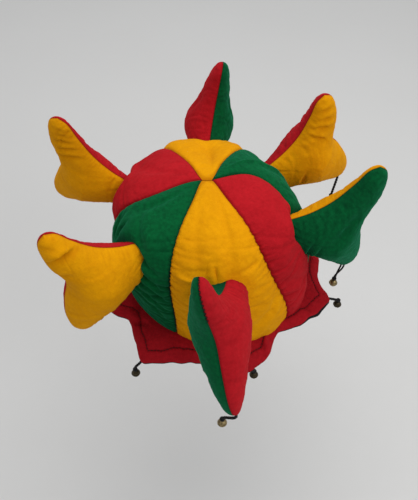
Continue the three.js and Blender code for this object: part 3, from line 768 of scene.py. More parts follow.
@dataclass
class Velour(Finish):
    """Stretch velour with a short dense pile, made a little darker and redder down in its folds by painted
    shade.
    """

    body: tuple[float, float, float] = (0.5, 0.5, 0.5)
    # deep is the colour of the painted shade in folds, creases and seams, and of the random darker patches of
    # the pile
    deep: tuple[float, float, float] = (0.2, 0.2, 0.2)
    sheen: tuple[float, float, float] = (1, 1, 1)
    sheen_weight: float = 0.12
    ruffle: float = 0.2  # how much darker its pile lies in patches

    def build(self) -> bpy.types.Material:
        """Makes the material.

        Returns:
            The material.
        """
        nodes = NodeTree(self.name)
        body, deep = (*self.body, 1), (*self.deep, 1)
        brushed = nodes.spread(nodes.noise(30, 3, 0.6), 0.35, 0.65, 0, 0.22)
        colour = nodes.blend(brushed, body, deep)
        ruffled = nodes.spread(nodes.noise(240, 3, 0.65), 0.35, 0.7, 0, self.ruffle)
        colour = nodes.blend(ruffled, colour, deep)
        pile = nodes.spread(nodes.noise(1300, 3, 0.7), 0.3, 0.7, 0, 0.3)
        colour = nodes.blend(pile, colour, deep)
        # painted shade: the crease attribute darkens the colour towards deep in folds, creases and seams
        nodes.join("Base Color", nodes.blend(nodes.crease(), colour, deep))
        nodes.join("Roughness", nodes.spread(nodes.noise(500, 2), 0.3, 0.7, 0.82, 0.98))
        dents = nodes.bump(nodes.noise(95, 3, 0.55), 0.002, 0.5)
        worn = nodes.bump(nodes.noise(330, 2), 0.0006, 0.5, dents)
        nodes.join("Normal", nodes.bump(nodes.noise(1500, 3, 0.75), 0.0004, 0.45, worn))
        nodes.shader.inputs["Specular IOR Level"].default_value = 0.04
        nodes.shader.inputs["Sheen Weight"].default_value = self.sheen_weight
        nodes.shader.inputs["Sheen Roughness"].default_value = 0.5
        nodes.shader.inputs["Sheen Tint"].default_value = (*self.sheen, 1)
        return nodes.material


DULL = 0.12  # how much black cloth and cord reflect


@dataclass
class WovenLining(Finish):
    """Plain black woven cloth, or black thread, with painted shade between its threads."""

    threads: float = 2200  # to the metre
    black: tuple[float, float, float] = (0.006, 0.006, 0.007)
    faded: tuple[float, float, float] = (0.016, 0.015, 0.016)
    # the colour of the painted shade between the threads
    thread_gap_shade: tuple[float, float, float] = (0.003, 0.003, 0.003)

    def build(self) -> bpy.types.Material:
        """Makes the material.

        Returns:
            The material.
        """
        nodes = NodeTree(self.name)
        values = {"Vector": nodes.place, "Scale": self.threads / 6, "Distortion": 0.4}
        waves = [nodes.node("ShaderNodeTexWave", values, bands_direction=axis) for axis in "XY"]
        weave = [wave.outputs["Fac"] for wave in waves]
        cloth = nodes.node("ShaderNodeMath", {0: weave[0], 1: weave[1]}, operation="MAXIMUM").outputs[0]
        worn = nodes.spread(nodes.noise(60, 3), 0.3, 0.7, 0, 1)
        colour = nodes.blend(worn, (*self.black, 1), (*self.faded, 1))
        # painted shade between the threads
        between_threads = nodes.spread(cloth, 0, 1, 0.5, 0)
        nodes.join("Base Color", nodes.blend(between_threads, colour, (*self.thread_gap_shade, 1)))
        nodes.join("Roughness", nodes.spread(worn, 0, 1, 0.7, 0.85))
        nodes.shader.inputs["Specular IOR Level"].default_value = DULL
        nodes.join("Normal", nodes.bump(cloth, 0.0002, 0.6))
        return nodes.material


@dataclass
class TwistedCord(Finish):
    """Black twisted cord."""

    black: tuple[float, float, float] = (0.004, 0.004, 0.005)
    faded: tuple[float, float, float] = (0.02, 0.019, 0.02)

    def build(self) -> bpy.types.Material:
        """Makes the material.

        Returns:
            The material.
        """
        nodes = NodeTree(self.name)
        fibres = nodes.noise(2600, 2)
        worn = nodes.spread(fibres, 0.35, 0.65, 0, 1)
        nodes.join("Base Color", nodes.blend(worn, (*self.black, 1), (*self.faded, 1)))
        nodes.join("Roughness", nodes.spread(fibres, 0.3, 0.7, 0.45, 0.7))
        nodes.shader.inputs["Specular IOR Level"].default_value = DULL
        nodes.join("Normal", nodes.bump(fibres, 0.0002, 0.6))
        return nodes.material


@dataclass
class AntiqueBrass(Finish):
    """Dull brass, darker in its dents and rubbed brighter on its high places."""

    bright: tuple[float, float, float] = (0.36, 0.27, 0.13)
    dark: tuple[float, float, float] = (0.045, 0.035, 0.02)

    def build(self) -> bpy.types.Material:
        """Makes the material.

        Returns:
            The material.
        """
        nodes = NodeTree(self.name)
        tarnish = nodes.spread(nodes.noise(420, 4, 0.65), 0.38, 0.68, 0, 0.8)
        colour = nodes.blend(tarnish, (*self.bright, 1), (*self.dark, 1))
        nodes.join("Base Color", nodes.blend(nodes.crease(), colour, (*self.dark, 1)))
        nodes.join("Roughness", nodes.spread(tarnish, 0, 0.8, 0.28, 0.6))
        nodes.join("Normal", nodes.bump(nodes.noise(900, 3), 0.0001, 0.35))
        nodes.shader.inputs["Metallic"].default_value = 1
        return nodes.material


VELOURS = {
    Dye.YELLOW: Velour(
        "yellow_velour",
        "yellow_velour",
        body=(0.80, 0.35, 0.002),
        deep=(0.44, 0.14, 0.001),
        sheen=(1, 0.6, 0.05),
        ruffle=0.14,
    ),
    Dye.RED: Velour(
        "red_velour",
        "red_velour",
        body=(0.50, 0.012, 0.019),
        deep=(0.20, 0.003, 0.005),
        sheen=(1, 0.12, 0.12),
        ruffle=0.25,
    ),
    Dye.GREEN: Velour(
        "green_velour",
        "green_velour",
        body=(0.002, 0.115, 0.030),
        deep=(0.001, 0.026, 0.009),
        sheen=(0.1, 1, 0.6),
        sheen_weight=0.16,
        ruffle=0.5,
    ),
}
# a darker copy of the red velour, for the brim
BRIM_VELOUR = Velour(
    "brim_velour",
    "red_velour",
    body=(0.42, 0.010, 0.017),
    deep=(0.16, 0.003, 0.005),
    sheen=(1, 0.12, 0.12),
    ruffle=0.35,
)
LINING = WovenLining("black_lining", "black_lining")
THREAD = WovenLining("sewing_thread", "black_cord", 6000)
CORD = TwistedCord("black_cord", "black_cord")
BRASS = AntiqueBrass("antique_brass", "antique_brass")
# a darker copy of the brass, for the bells that hang from the brim
BRIM_BELL_BRASS = AntiqueBrass(
    "brim_bell_brass", "antique_brass", (0.08, 0.064, 0.038), (0.004, 0.0035, 0.003)
)


@dataclass
class Horn:
    """One stuffed horn, of two sewn halves."""

    pose: HornPose
    seat_radius: float  # from the axis to its foot
    seat_height: float
    reach: float = 96
    rise: float = 74
    drop: float = 104
    stuffing: float = 0.86  # its half thickness, as a share of the room that the outline leaves
    foot_length: float = 0.5  # the share of the reach over which it grows to its full thickness
    root: float = 44  # how far inside its foot the search for the crown's surface starts
    under: float = 0.8  # how far under the crown's surface its foot ends
    steps_along: int = 96
    steps_up: int = 64
    rays: int = 12  # along which the room inside the outline is measured
    pleat_pitch: float = 9.0  # of the pleats beside the seam
    foot_pleat_pitch: float = 6.5

    def __post_init__(self) -> None:
        """Works out where the horn's plane stands."""
        pose = self.pose
        self.tilt = turning(2, pose.swing) @ turning(1, -pose.lift) @ turning(0, pose.roll)
        self.turned = turning(2, pose.turn)
        self.seat = np.array([self.seat_radius, 0, self.seat_height * pose.seat])
        self.rng = np.random.default_rng(int(pose.turn) + 400)

    def placed(self, points: np.ndarray) -> np.ndarray:
        """Points of the horn's own axes, x outwards, y to its left and z up, in their place."""
        return (points @ self.tilt.T + self.seat) @ self.turned.T

    def local(self, points: np.ndarray) -> np.ndarray:
        """Points of the hat in the horn's own axes."""
        return (points @ self.turned - self.seat) @ self.tilt

    def corners(self, saddle: float) -> np.ndarray:
        """The corners of the outline.

        Args:
            saddle: how far its upper edge sags, as a share of the reach.

        Returns:
            The corners, outwards and up.
        """
        rows = []
        pose = self.pose
        for row in HORN_OUTLINE:
            height = row.up * (self.rise if row.up > 0 else self.drop)
            out = row.out + row.tip * pose.tip_out + row.lobe * pose.lobe_out + row.middle * pose.middle
            shift = row.tip * pose.tip_up + row.lobe * pose.lobe_up - row.saddle * saddle
            rows.append((out * self.reach, height + shift * self.reach))
        return np.array(rows)

    def along_shares(self) -> np.ndarray:
        """Shares of the horn's length, closer together towards its outer edge."""
        return 1 - (1 - np.arange(self.steps_along + 1) / self.steps_along) ** 1.3

    def flat_grid(self) -> np.ndarray:
        """The points of the horn's flat grid, from its foot outwards and from its lower edge up.

        Returns:
            How far outwards and how far up each point lies, in mm.
        """
        corners = self.corners(self.pose.saddle)
        along, upwards = self.along_shares(), end_shares(self.steps_up)
        upper = at_shares(smooth_curve(corners[: UPPER_TIP + 1]), along)
        outer = at_shares(smooth_curve(corners[UPPER_TIP : LOWER_TIP + 1]), upwards)[::-1]
        lower = at_shares(smooth_curve(corners[LOWER_TIP:][::-1]), along)
        share, height = along[:, None, None], upwards[None, :, None]
        foot = between(lower[0], upper[0], height)
        end = between(lower[-1], upper[-1], height)
        sides = between(foot, outer[None], share)
        edges = between(lower[:, None], upper[:, None], height)
        return sides + edges - between(foot, end, share)

    def stuffed_half(self, grid: np.ndarray, saddle: float) -> np.ndarray:
        """The half thickness: thicker where the outline leaves room.

        Args:
            grid: the points of the flat grid.
            saddle: how far the outline's upper edge sags, as a share of the reach.

        Returns:
            The half thickness at each point, in mm.
        """
        corners = self.corners(saddle)
        open_end = np.array([-2 * self.reach, 0])
        line = smooth_curve(corners, 6)
        outline = np.vstack([corners[0] + open_end, line, corners[-1] + open_end])
        points = grid.reshape(-1, 2)
        start, side = outline[:-1], np.diff(outline, axis=0)
        gap = start[None] - points[:, None]
        total = np.zeros(len(points))
        for step in range(self.rays):
            turn = math.pi * (step + 0.5) / self.rays
            ray = np.array([math.cos(turn), math.sin(turn)])
            scale = ray[0] * side[:, 1] - ray[1] * side[:, 0]
            scale = np.where(np.abs(scale) < 1e-9, 1e-9, scale)
            along = (gap[..., 0] * side[:, 1] - gap[..., 1] * side[:, 0]) / scale
            share = (gap[..., 0] * ray[1] - gap[..., 1] * ray[0]) / scale
            hit = (share >= 0) & (share <= 1)
            ahead = np.where(hit & (along >= 0), along, 1e9).min(1)
            behind = np.where(hit & (along < 0), -along, 1e9).min(1)
            total += 1 / np.maximum(ahead * behind, 1e-6)
        half = self.stuffing * np.sqrt(0.5 / (total / self.rays)).reshape(grid.shape[:2])
        from_foot = np.clip(grid[..., 0] / (self.reach * self.foot_length), 0, 1)
        half *= between(self.pose.foot_share, 1, from_foot)
        half[:, 0] = half[:, -1] = half[-1] = 0
        return half

    def crease_depth(self) -> np.ndarray:
        """How deep the creases cut at each point of the grid, as a share of the thickness.

        Returns:
            The depth at each point; a lip counts as less than 0.
        """
        along, upwards = self.along_shares()[:, None], end_shares(self.steps_up)[None]
        depth = np.zeros((self.steps_along + 1, self.steps_up + 1))
        for crease in CREASES:
            if crease.horn != self.pose.name:
                continue
            lean = math.radians(crease.lean)
            x, y = along - crease.along, upwards - crease.upwards
            on = (x * math.cos(lean) + y * math.sin(lean)) / crease.length
            off = (y * math.cos(lean) - x * math.sin(lean)) / (2 * crease.width)
            depth += np.exp(-(on**2)) * (crease.depth * hump(off, 1) - crease.lip * hump(off - 2, 1.2))
        return depth

    def gathers(self, grid: np.ndarray) -> np.ndarray:
        """The pleats beside the seam and at the foot.

        Args:
            grid: the points of the flat grid.

        Returns:
            How far they sink the surface at each point, in mm.
        """
        sink = np.zeros(grid.shape[:2])
        edges = ((grid[:, :1], 1.0), (grid[:, -1:], 1.0), (grid[-1:, :], 0.8))
        for edge, strength in edges:
            run = run_along(edge.reshape(-1, 2))
            place = run.reshape(edge.shape[:2])
            away = np.linalg.norm(grid - edge, axis=-1)
            pinch = 0.5 + 0.5 * np.cos(2 * np.pi * place / STITCH_PITCH)
            sink += 0.45 * strength * pinch * hump(away, 2.4)
            for spot in np.arange(6, run[-1] - 6, self.pleat_pitch):
                spot += self.rng.normal(0, 2.2)
                depth = abs(self.rng.normal(0.85, 0.5)) * strength
                length = self.rng.uniform(5, 20)
                width = self.rng.uniform(1.2, 2.2)
                lean = self.rng.normal(0, 0.35)
                fade = np.exp(-away / length) * ease(0, 2, away)
                sink += depth * hump(place - spot - lean * away, width) * fade
        across = grid[..., 1] - grid[..., :1, 1]
        foot = np.maximum(grid[..., 0] - grid[:1, :, 0], 0)
        for spot in np.arange(3, across[0, -1] - 2, self.foot_pleat_pitch):
            spot += self.rng.normal(0, 1.4)
            depth = abs(self.rng.normal(1.5, 0.6))
            length = self.rng.uniform(6, 18)
            width = self.rng.uniform(1.0, 1.9)
            sink += depth * hump(across - spot, width) * np.exp(-foot / length)
        return sink

    def half_points(self, side: int, crown: "CrownForm") -> tuple[np.ndarray, np.ndarray, np.ndarray]:
        """The points of one half, from where it meets the crown outwards.

        Args:
            side: 1 for the left half, -1 for the right one.
            crown: what its foot is sewn to.

        Returns:
            The points of its outer skin and of its flat side, and how creased the skin is.
        """
        grid = self.flat_grid()
        share = self.pose.left_share if side > 0 else self.pose.right_share
        depth = self.crease_depth()
        sink = self.gathers(grid)
        half = self.stuffed_half(grid, self.pose.saddle if side > 0 else 0) * (1 - depth) * share
        skin = np.maximum(half - sink, 0) + SEAM_GAP / 2
        skin[:, 0] = skin[:, -1] = skin[-1] = SEAM_GAP / 2
        # painted shade in the pleats and creases, and along the seam where the stuffing thins
        crease = np.clip(sink * 0.35 + depth * 1.2, 0, 0.7) + 0.75 * hump(half, 1.1)
        outside = np.stack([grid[..., 0], side * skin, grid[..., 1]], -1)
        flat = outside.copy()
        flat[..., 1] = side * SEAM_GAP / 2
        if side < 0:
            away = np.linalg.norm(grid - grid[:, -1:], axis=-1)
            along = self.along_shares()[:, None]
            raised = ease(0, 3, away) * (1 - ease(4, 20, away)) * (1 - ease(0.2, 0.7, along))
            outside[..., 2] += self.pose.over * raised
        outside, flat = self.to_crown(outside, crown), self.to_crown(flat, crown)
        foot = np.linalg.norm(outside - outside[:1], axis=-1)
        # painted shade also darkens the skin where its foot meets the crown
        return self.placed(outside), self.placed(flat), np.clip(crease + 0.5 * hump(foot, 2.5), 0, 1)

    def to_crown(self, rows: np.ndarray, crown: "CrownForm") -> np.ndarray:
        """Moves rows of points so that they start just under the crown's surface.

        Args:
            rows: the points in the horn's own axes, from its foot outwards.
            crown: what its foot is sewn to.

        Returns:
            The moved points.
        """
        roots = np.linspace(-self.root, 0, 24)[:-1]
        inside = np.repeat(rows[:1], len(roots), axis=0)
        inside[..., 0] = roots[:, None]
        whole = np.concatenate([inside, rows])
        above = crown.height_above(self.placed(whole).reshape(-1, 3)).reshape(whole.shape[:2])
        fitted = np.empty_like(rows)
        share = np.linspace(0, 1, rows.shape[0])
        for column in range(rows.shape[1]):
            line = whole[:, column]
            run = run_along(line)
            covered = np.nonzero(above[:, column] < -self.under)[0]
            last = int(covered[-1]) if len(covered) else 0
            if last + 1 < len(run):
                low, high = above[last, column], above[last + 1, column]
                step = np.clip((-self.under - low) / max(high - low, 1e-6), 0, 1)
                start = between(run[last], run[last + 1], step)
            else:
                start = run[0]
            places = run[len(roots) :]
            rest = np.clip((places - places[0]) / (places[-1] - places[0]), 0, 1)
            target = start + (run[-1] - start) * between(share, rest, ease(0, 1, share))
            fitted[:, column] = np.stack([np.interp(target, run, line[:, k]) for k in range(3)], -1)
        return fitted


@dataclass
class HornHalf:
    """One half of a stuffed horn: its velour, and its flat side along the seam."""

    horn: Horn
    side: int  # 1 for the left half, -1 for the right one
    crown: "CrownForm"
    spare: float = 0.018  # how much larger than its stuffing the velour is cut, as a share
    firmness: float = 0.3  # how firmly the stuffing holds it
    stuffed: float = 0.85

    def __post_init__(self) -> None:
        """Works out the skin and the flat side."""
        pose = self.horn.pose
        self.dye = pose.left if self.side > 0 else pose.right
        self.node = f"horn_{pose.name}_{self.dye.value}"
        skin, self.flat, self.crease = self.horn.half_points(self.side, self.crown)
        rows, columns = self.horn.along_shares(), end_shares(self.horn.steps_up)
        free = np.zeros(skin.shape[:2], bool)
        self.patch = Patch(f"{self.node}_velour", skin, rows, columns, free, self.spare, self.firmness)

    def skin(self) -> np.ndarray:
        """The settled skin, kept on its own side of the seam.

        Returns:
            Its points, in mm.
        """
        place = self.horn.local(self.patch.points)
        seam = self.side * self.horn.local(self.flat)[..., 1]
        least = np.minimum(seam, SEAM_GAP / 2) + 0.6
        least[:, [0, -1]] = seam[:, [0, -1]]
        least[-1] = seam[-1]
        place[..., 1] = self.side * np.maximum(self.side * place[..., 1], least)
        return self.horn.placed(place)

    def make(self) -> list[bpy.types.Object]:
        """Makes the half.

        Returns:
            The half, as a list of one piece.
        """
        skin = self.skin()
        piece = Piece(self.patch.name)
        rows, columns = skin.shape[:2]
        numbers = numbered(rows, columns)
        piece.add(skin, [quads(numbers, self.side < 0)], self.crease)
        inner = self.flat[:-1, 1:-1]
        numbers[:-1, 1:-1] = numbered(*inner.shape[:2], piece.count)
        foot = np.concatenate([np.arange(columns), numbers[0, 1:-1][::-1]])[None]
        piece.add(inner, [])
        piece.faces.append(quads(numbers, self.side > 0))
        piece.faces.append(facing(foot, self.side > 0))
        shown = piece.make(self.node, VELOURS[self.dye], 60)
        return [shown]


@dataclass
class CrownForm:
    """The padded crown, before it is cut into gores."""

    head_radius: float = 93
    rim_padding: float = 19
    seam_swell: float = 0.5
    widest_height: float = 60
    height: float = 166
    top_dip: float = 5
    seam_depth: float = 9
    side_padding: float = 16
    top_padding: float = 13
    fullness: float = 2.75
    rim_shift: float = 14.5  # how far the lower edge of the gores sits to one side
    rim_spread: float = 2.5  # how much wider it is on that side
    rim_turn: float = -12  # the direction of that side, in degrees from +X
    top_seam: float = 5.5  # half the length of the seam in which the two yellow gores meet
    horn_seat_height: float = 118
    seat_inset: float = 3.5
    foot_width: float = 0.72  # of the horns, as a share of the height of their feet
    columns: int = 84
    rows: int = 264

    def __post_init__(self) -> None:
        """Works out the sizes that follow, and the horns that stand on it."""
        self.rim_radius = self.head_radius + self.rim_padding
        self.seam_radius = self.rim_radius + self.seam_swell
        self.rise = self.height - self.widest_height - self.top_dip
        self.rim_angle = math.pi - math.atan(self.rim_radius / self.widest_height)
        self.inner_rim_angle = math.pi - math.atan(self.head_radius / self.widest_height)
        self.length = self.rim_angle * (self.seam_radius + self.seam_depth)
        up = (self.horn_seat_height - self.widest_height) / (self.height - self.widest_height)
        seat_radius = self.seam_radius * (1 - up**self.fullness) ** (1 / self.fullness) - self.seat_inset
        self.horns = [Horn(pose, seat_radius, self.horn_seat_height) for pose in HORN_POSES]

    def shell(self, angle: np.ndarray, across: float, rise: np.ndarray | float) -> np.ndarray:
        """The distance from the crown's centre to a rounded shell.

        Args:
            angle: from straight up, in radians.
            across: the shell's radius at the widest line.
            rise: its height above that line, or its depth below.

        Returns:
            The distance, in mm.
        """
        side = np.abs(np.sin(angle) / across) ** self.fullness
        upright = np.abs(np.cos(angle) / rise) ** self.fullness
        return (side + upright) ** (-1 / self.fullness)

    def lower_rise(self, across: float, radius: float) -> float:
        """The depth of the half shell below the widest line that passes through the rim."""
        return self.widest_height / (1 - (radius / across) ** self.fullness) ** (1 / self.fullness)

    def seam_turn(self, number: int, angle: np.ndarray) -> np.ndarray:
        """The turn of a gore's own seam.

        Args:
            number: the gore's number.
            angle: from straight up, in radians.

        Returns:
            The turn from +X, in radians.
        """
        gore = GORES[number % len(GORES)]
        down = angle / self.rim_angle
        turned = gore.sway * ease(gore.steady, gore.swayed, down) + gore.bow * hump(down - 0.24, 0.14)
        return np.radians(gore.seam + turned)

    def swelling(self, turn: np.ndarray, down: np.ndarray) -> np.ndarray:
        """How far the broad swellings raise the crown's surface.

        Args:
            turn: from +X, in radians.
            down: the share of the way down.

        Returns:
            The height at each point, in mm.
        """
        height = np.zeros(np.broadcast(turn, down).shape)
        for swell in SWELLS:
            aside = (turn - math.radians(swell.turn) + math.pi) % (2 * math.pi) - math.pi
            across = hump(aside, math.radians(swell.wide))
            height += swell.height * across * hump(down - swell.down, swell.long)
        return height * np.minimum(1, 10 * down)

    def span(self, number: int, angle: np.ndarray) -> np.ndarray:
        """The turn from a gore's own seam to the next one's."""
        return (self.seam_turn(number + 1, angle) - self.seam_turn(number, angle)) % (2 * math.pi)

    def fold_height(self, number: int, across: np.ndarray, down: np.ndarray) -> np.ndarray:
        """How far the folds of a gore raise its surface.

        Args:
            number: the gore's number.
            across: the share of its width.
            down: the share of its length.

        Returns:
            The height at each point, in mm.
        """
        width = (self.seam_radius + self.seam_depth) * float(self.span(number, np.array(math.pi / 2)))
        wide = width / (self.seam_radius + self.seam_depth + self.height)
        height = np.zeros(np.broadcast(across, down).shape)
        for fold in FOLDS:
            if fold.gore != GORES[number].name:
                continue
            aside, below = (across - fold.across) * wide, down - fold.down
            lean = math.radians(fold.lean)
            on = (below * math.cos(lean) + aside * math.sin(lean)) / fold.length
            off = (aside * math.cos(lean) - below * math.sin(lean)) / fold.width
            height += fold.height * np.exp(-(on**2) - off**2)
        return height * np.minimum(1, 8 * across * (1 - across)) * np.minimum(1, 10 * down)

    def outer(self, number: int, across: np.ndarray, down: np.ndarray) -> np.ndarray:
        """The distance from the crown's centre to a gore's outer surface.

        Args:
            number: the gore's number.
            across: the share of its width.
            down: the share of its length.

        Returns:
            The distance at each point, in mm.
        """
        angle = down * self.rim_angle
        low = self.lower_rise(self.seam_radius, self.rim_radius)
        rise = np.where(angle > math.pi / 2, low, self.rise)
        swell = np.maximum(0, np.sin(math.pi * across)) ** 0.7
        from_top = between(0.25, 1, ease(0.25, 0.5, down)) * np.sin(math.pi / 2 * np.minimum(1, down / 0.16))
        from_rim = between(0.55, 1, np.minimum(1, (1 - down) / 0.2))
        plump = self.seam_depth * swell * from_top * from_rim
        filled = self.top_dip * swell * np.sin(math.pi * np.minimum(1, down / 0.55)) * 0.3
        base = self.shell(angle, self.seam_radius, rise)
        turn = self.seam_turn(number, angle) + self.span(number, angle) * across
        lean = self.rim_lean(turn, down) * np.sin(angle)
        shape = base + plump + filled + lean
        return shape + self.swelling(turn, down) + self.fold_height(number, across, down)

    def rim_lean(self, turn: np.ndarray, down: np.ndarray) -> np.ndarray:
        """How far the lower part of the outer surface lies outwards at a turn in radians, in mm."""
        towards = np.cos(turn - math.radians(self.rim_turn))
        return (self.rim_shift * towards + self.rim_spread * towards**2) * ease(0.5, 1, down)

    def placed(self, turn: np.ndarray, angle: np.ndarray, distance: np.ndarray) -> np.ndarray:
        """Points round the crown's centre.

        Args:
            turn: from +X, in radians.
            angle: from straight up, in radians.
            distance: from the centre, in mm.

        Returns:
            The points.
        """
        turn, angle, distance = np.broadcast_arrays(turn, angle, distance)
        flat = distance * np.sin(angle)
        height = distance * np.cos(angle) + self.widest_height
        return np.stack([flat * np.cos(turn), flat * np.sin(turn), height], -1)

    def dimple(self, points: np.ndarray) -> np.ndarray:
        """How far the crown's surface is raised round the horns' feet, and sunk at them.

        Args:
            points: points of the surface.

        Returns:
            The height at each point, in mm.
        """
        height = np.zeros(points.shape[:-1])
        for horn in self.horns:
            ring = self.foot_ring(horn, points)
            near = hump(horn.local(points)[..., 0], 32)
            height += near * horn.pose.sunk * (0.4 * hump(ring - 1.5, 0.25) - hump(ring - 0.92, 0.26))
        return height

    def under_horn(self, points: np.ndarray) -> np.ndarray:
        """Whether a horn's foot covers points of the surface or is sewn to them.

        Args:
            points: points of the surface.

        Returns:
            Whether each is held.
        """
        under = np.zeros(points.shape[:-1], bool)
        for horn in self.horns:
            under |= (self.foot_ring(horn, points) < 1.12) & (np.abs(horn.local(points)[..., 0]) < 40)
        return under

    def foot_ring(self, horn: Horn, points: np.ndarray) -> np.ndarray:
        """How far points lie from the middle of a horn's foot.

        Args:
            horn: the horn.
            points: points near it.

        Returns:
            The distances, as shares of the size of the foot.
        """
        place = horn.local(points)
        above, below = HORN_OUTLINE[0].up * horn.rise, -HORN_OUTLINE[-1].up * horn.drop
        middle, tall = 0.5 * (above - below), 0.5 * (above + below)
        return np.hypot(place[..., 1] / (self.foot_width * tall), (place[..., 2] - middle) / tall)

    def height_above(self, points: np.ndarray) -> np.ndarray:
        """How far points lie outside the crown's surface.

        Args:
            points: the points, one row each.

        Returns:
            The heights, in mm, negative inside.
        """
        offset = points - [0, 0, self.widest_height]
        distance = np.linalg.norm(offset, axis=-1)
        angle = np.arccos(np.clip(offset[..., 2] / np.maximum(distance, 1e-6), -1, 1))
        turn = np.arctan2(offset[..., 1], offset[..., 0])
        surface = np.zeros(len(points))
        for number in range(len(GORES)):
            round_gore = (turn - self.seam_turn(number, angle)) % (2 * math.pi)
            across = round_gore / self.span(number, angle)
            inside = across <= 1
            down = np.minimum(angle / self.rim_angle, 1)
            found = self.outer(number, np.clip(across, 0, 1), down)
            surface = np.where(inside, found, surface)
        on_surface = self.placed(turn, angle, surface)
        return distance - surface - self.dimple(on_surface)


@dataclass
class GoreCloth:
    """The velour and padding of one gore."""

    number: int
    form: CrownForm
    spare: float = 0.03  # how much larger than its padding the velour is cut, as a share
    firmness: float = 0.14  # how firmly the padding holds it
    still_rows: int = 6  # at the top, that don't settle
    stuffed: float = 0.7
    pleat_pitch: float = 7.6  # of the gathers beside its seams
    wave_pitch: float = 12.5  # of the waves in its seams
    wall_columns: int = 12
    wall_rows: int = 24

    def pleats(
        self, start: np.ndarray, away: np.ndarray, run: np.ndarray, gather: float, seed: int
    ) -> np.ndarray:
        """How far the gathers beside one seam sink the surface.

        Args:
            start: 0 at the top of the crown, 1 where gathers are at full strength.
            away: the distance from the seam, in mm.
            run: the distance down the seam, in mm.
            gather: their strength.
            seed: makes each seam's gathers its own.

        Returns:
            The depth at each point, in mm.
        """
        rng = np.random.default_rng(seed)
        pinch = 0.5 + 0.5 * np.cos(2 * np.pi * run / STITCH_PITCH)
        sink = 0.6 * gather * start * pinch * hump(away, 2.6) + 0.9 * hump(away, 1.7)
        for spot in np.arange(10, float(run.max()), self.pleat_pitch):
            spot += rng.normal(0, 1.8)
            depth = abs(rng.normal(1.15, 0.55)) * gather
            length = rng.uniform(6, 16 + 8 * gather)
            width = rng.uniform(1.3, 2.4)
            lean = rng.normal(0, 0.3)
            line = run - spot - lean * away
            sink += start * depth * hump(line, width) * np.exp(-away / length) * ease(0, 2, away)
        return sink

    def __post_init__(self) -> None:
        """Works out the outer surface."""
        form, number = self.form, self.number
        gore, after = GORES[number], GORES[(number + 1) % len(GORES)]
        across = end_shares(form.columns)[None, :]
        down = np.linspace(0, 1, form.rows + 1)[:, None]
        angle = down * form.rim_angle
        distance = form.outer(number, across, down)
        span = form.span(number, angle)
        width = span * np.sin(angle) * distance.max(1, keepdims=True)
        run = down * form.length
        start = ease(0.22, 0.62, down)
        own = self.pleats(start, across * width, run, gore.gather, 11 * number + 1)
        other = self.pleats(start, (1 - across) * width, run, after.gather, 11 * number + 7)
        swing = ease(0.12, 0.4, down) / np.maximum(np.sin(angle) * form.seam_radius, 20)
        shift = self.seam_swing(run, gore) * (1 - across) ** 7 + self.seam_swing(run, after) * across**7
        turn = form.seam_turn(number, angle) + span * across + shift * swing
        points = form.placed(turn, angle, distance)
        sink = own + other - form.dimple(points)
        held = form.under_horn(points)
        points = form.placed(turn, angle, distance - sink) + self.aside()
        pull = form.top_seam * between(gore.pull, after.pull, across)
        points[..., 0] += pull * hump(np.hypot(points[..., 0], points[..., 1]), 26)
        points[-1, :, 2] = 0
        edge = np.minimum(across, 1 - across) * width
        # painted shade in the gathers and along both seams
        self.crease = np.clip(0.22 * (own + other) + 0.5 * hump(edge, 1.6), 0, 0.85)
        cut = (self.spare, self.firmness, self.still_rows)
        self.patch = Patch(f"gore_{gore.name}_velour", points, down[:, 0], across[0], held, *cut)

    def aside(self) -> np.ndarray:
        """How far the gore is moved out from the axis, so that its seams keep their gap.

        Returns:
            The shift, in mm.
        """
        top = np.array(0.0)
        half = 0.5 * float(self.form.span(self.number, top))
        middle = float(self.form.seam_turn(self.number, top)) + half
        return SEAM_GAP / 2 / math.sin(half) * np.array([math.cos(middle), math.sin(middle), 0])

    def lining(self) -> np.ndarray:
        """The points of the side towards the head, in rows.

        Returns:
            The points, in mm.
        """
        form, number = self.form, self.number
        inner_radius = form.seam_radius - form.side_padding
        across = end_shares(self.wall_columns)[None, :]
        angle = np.linspace(0, 1, self.wall_rows + 1)[:, None] * form.inner_rim_angle
        low = form.lower_rise(inner_radius, form.head_radius)
        rise = np.where(angle > math.pi / 2, low, form.rise - form.top_padding)
        turn = form.seam_turn(number, angle) + form.span(number, angle) * across
        return form.placed(turn, angle, form.shell(angle, inner_radius, rise)) + self.aside()

    def make(self) -> list[bpy.types.Object]:
        """Makes the gore.

        Returns:
            The gore, as a list of one piece.
        """
        gore = GORES[self.number]
        wall = self.lining()
        points = self.patch.points
        points[-1, :, 2] = 0
        piece = Piece(self.patch.name)
        outer, inner = numbered(*points.shape[:2]), numbered(*wall.shape[:2])
        piece.add(points, [quads(outer)], self.crease)
        # painted shade over the whole side towards the head
        inner += piece.add(wall, [quads(inner, True)], 0.3)
        self.close(piece, outer[:, 0][::-1], inner[:, 0][::-1])
        self.close(piece, outer[:, -1], inner[:, -1])
        self.close(piece, outer[-1][::-1], inner[-1][::-1])
        shown = piece.make(f"gore_{gore.name}", VELOURS[gore.dye])
        return [shown]

    def seam_swing(self, run: np.ndarray, gore: Gore) -> np.ndarray:
        """How far a seam's line swings aside on its way down.

        Args:
            run: the distance down the seam, in mm.
            gore: the gore whose own seam it is.

        Returns:
            The shift at each point, in mm.
        """
        phase = gore.seam
        wide = np.abs(np.sin(np.pi * run / self.wave_pitch + phase)) - 0.6
        fine = np.sin(2 * np.pi * run / STITCH_PITCH + phase)
        return -gore.scallop * (1.2 * wide + 0.3 * fine)

    def close(self, piece: Piece, fine: np.ndarray, coarse: np.ndarray) -> None:
        """Closes the gap between two rows of points.

        Args:
            piece: the piece that the faces are added to.
            fine: the numbers of the points of the finer row.
            coarse: the numbers of the points of the coarser one, which ends beside it.
        """
        steps = len(coarse) - 1
        each = (len(fine) - 1) // steps
        faces = [[*fine[k * each : (k + 1) * each + 1], coarse[k + 1], coarse[k]] for k in range(steps)]
        piece.faces.append(np.array(faces))


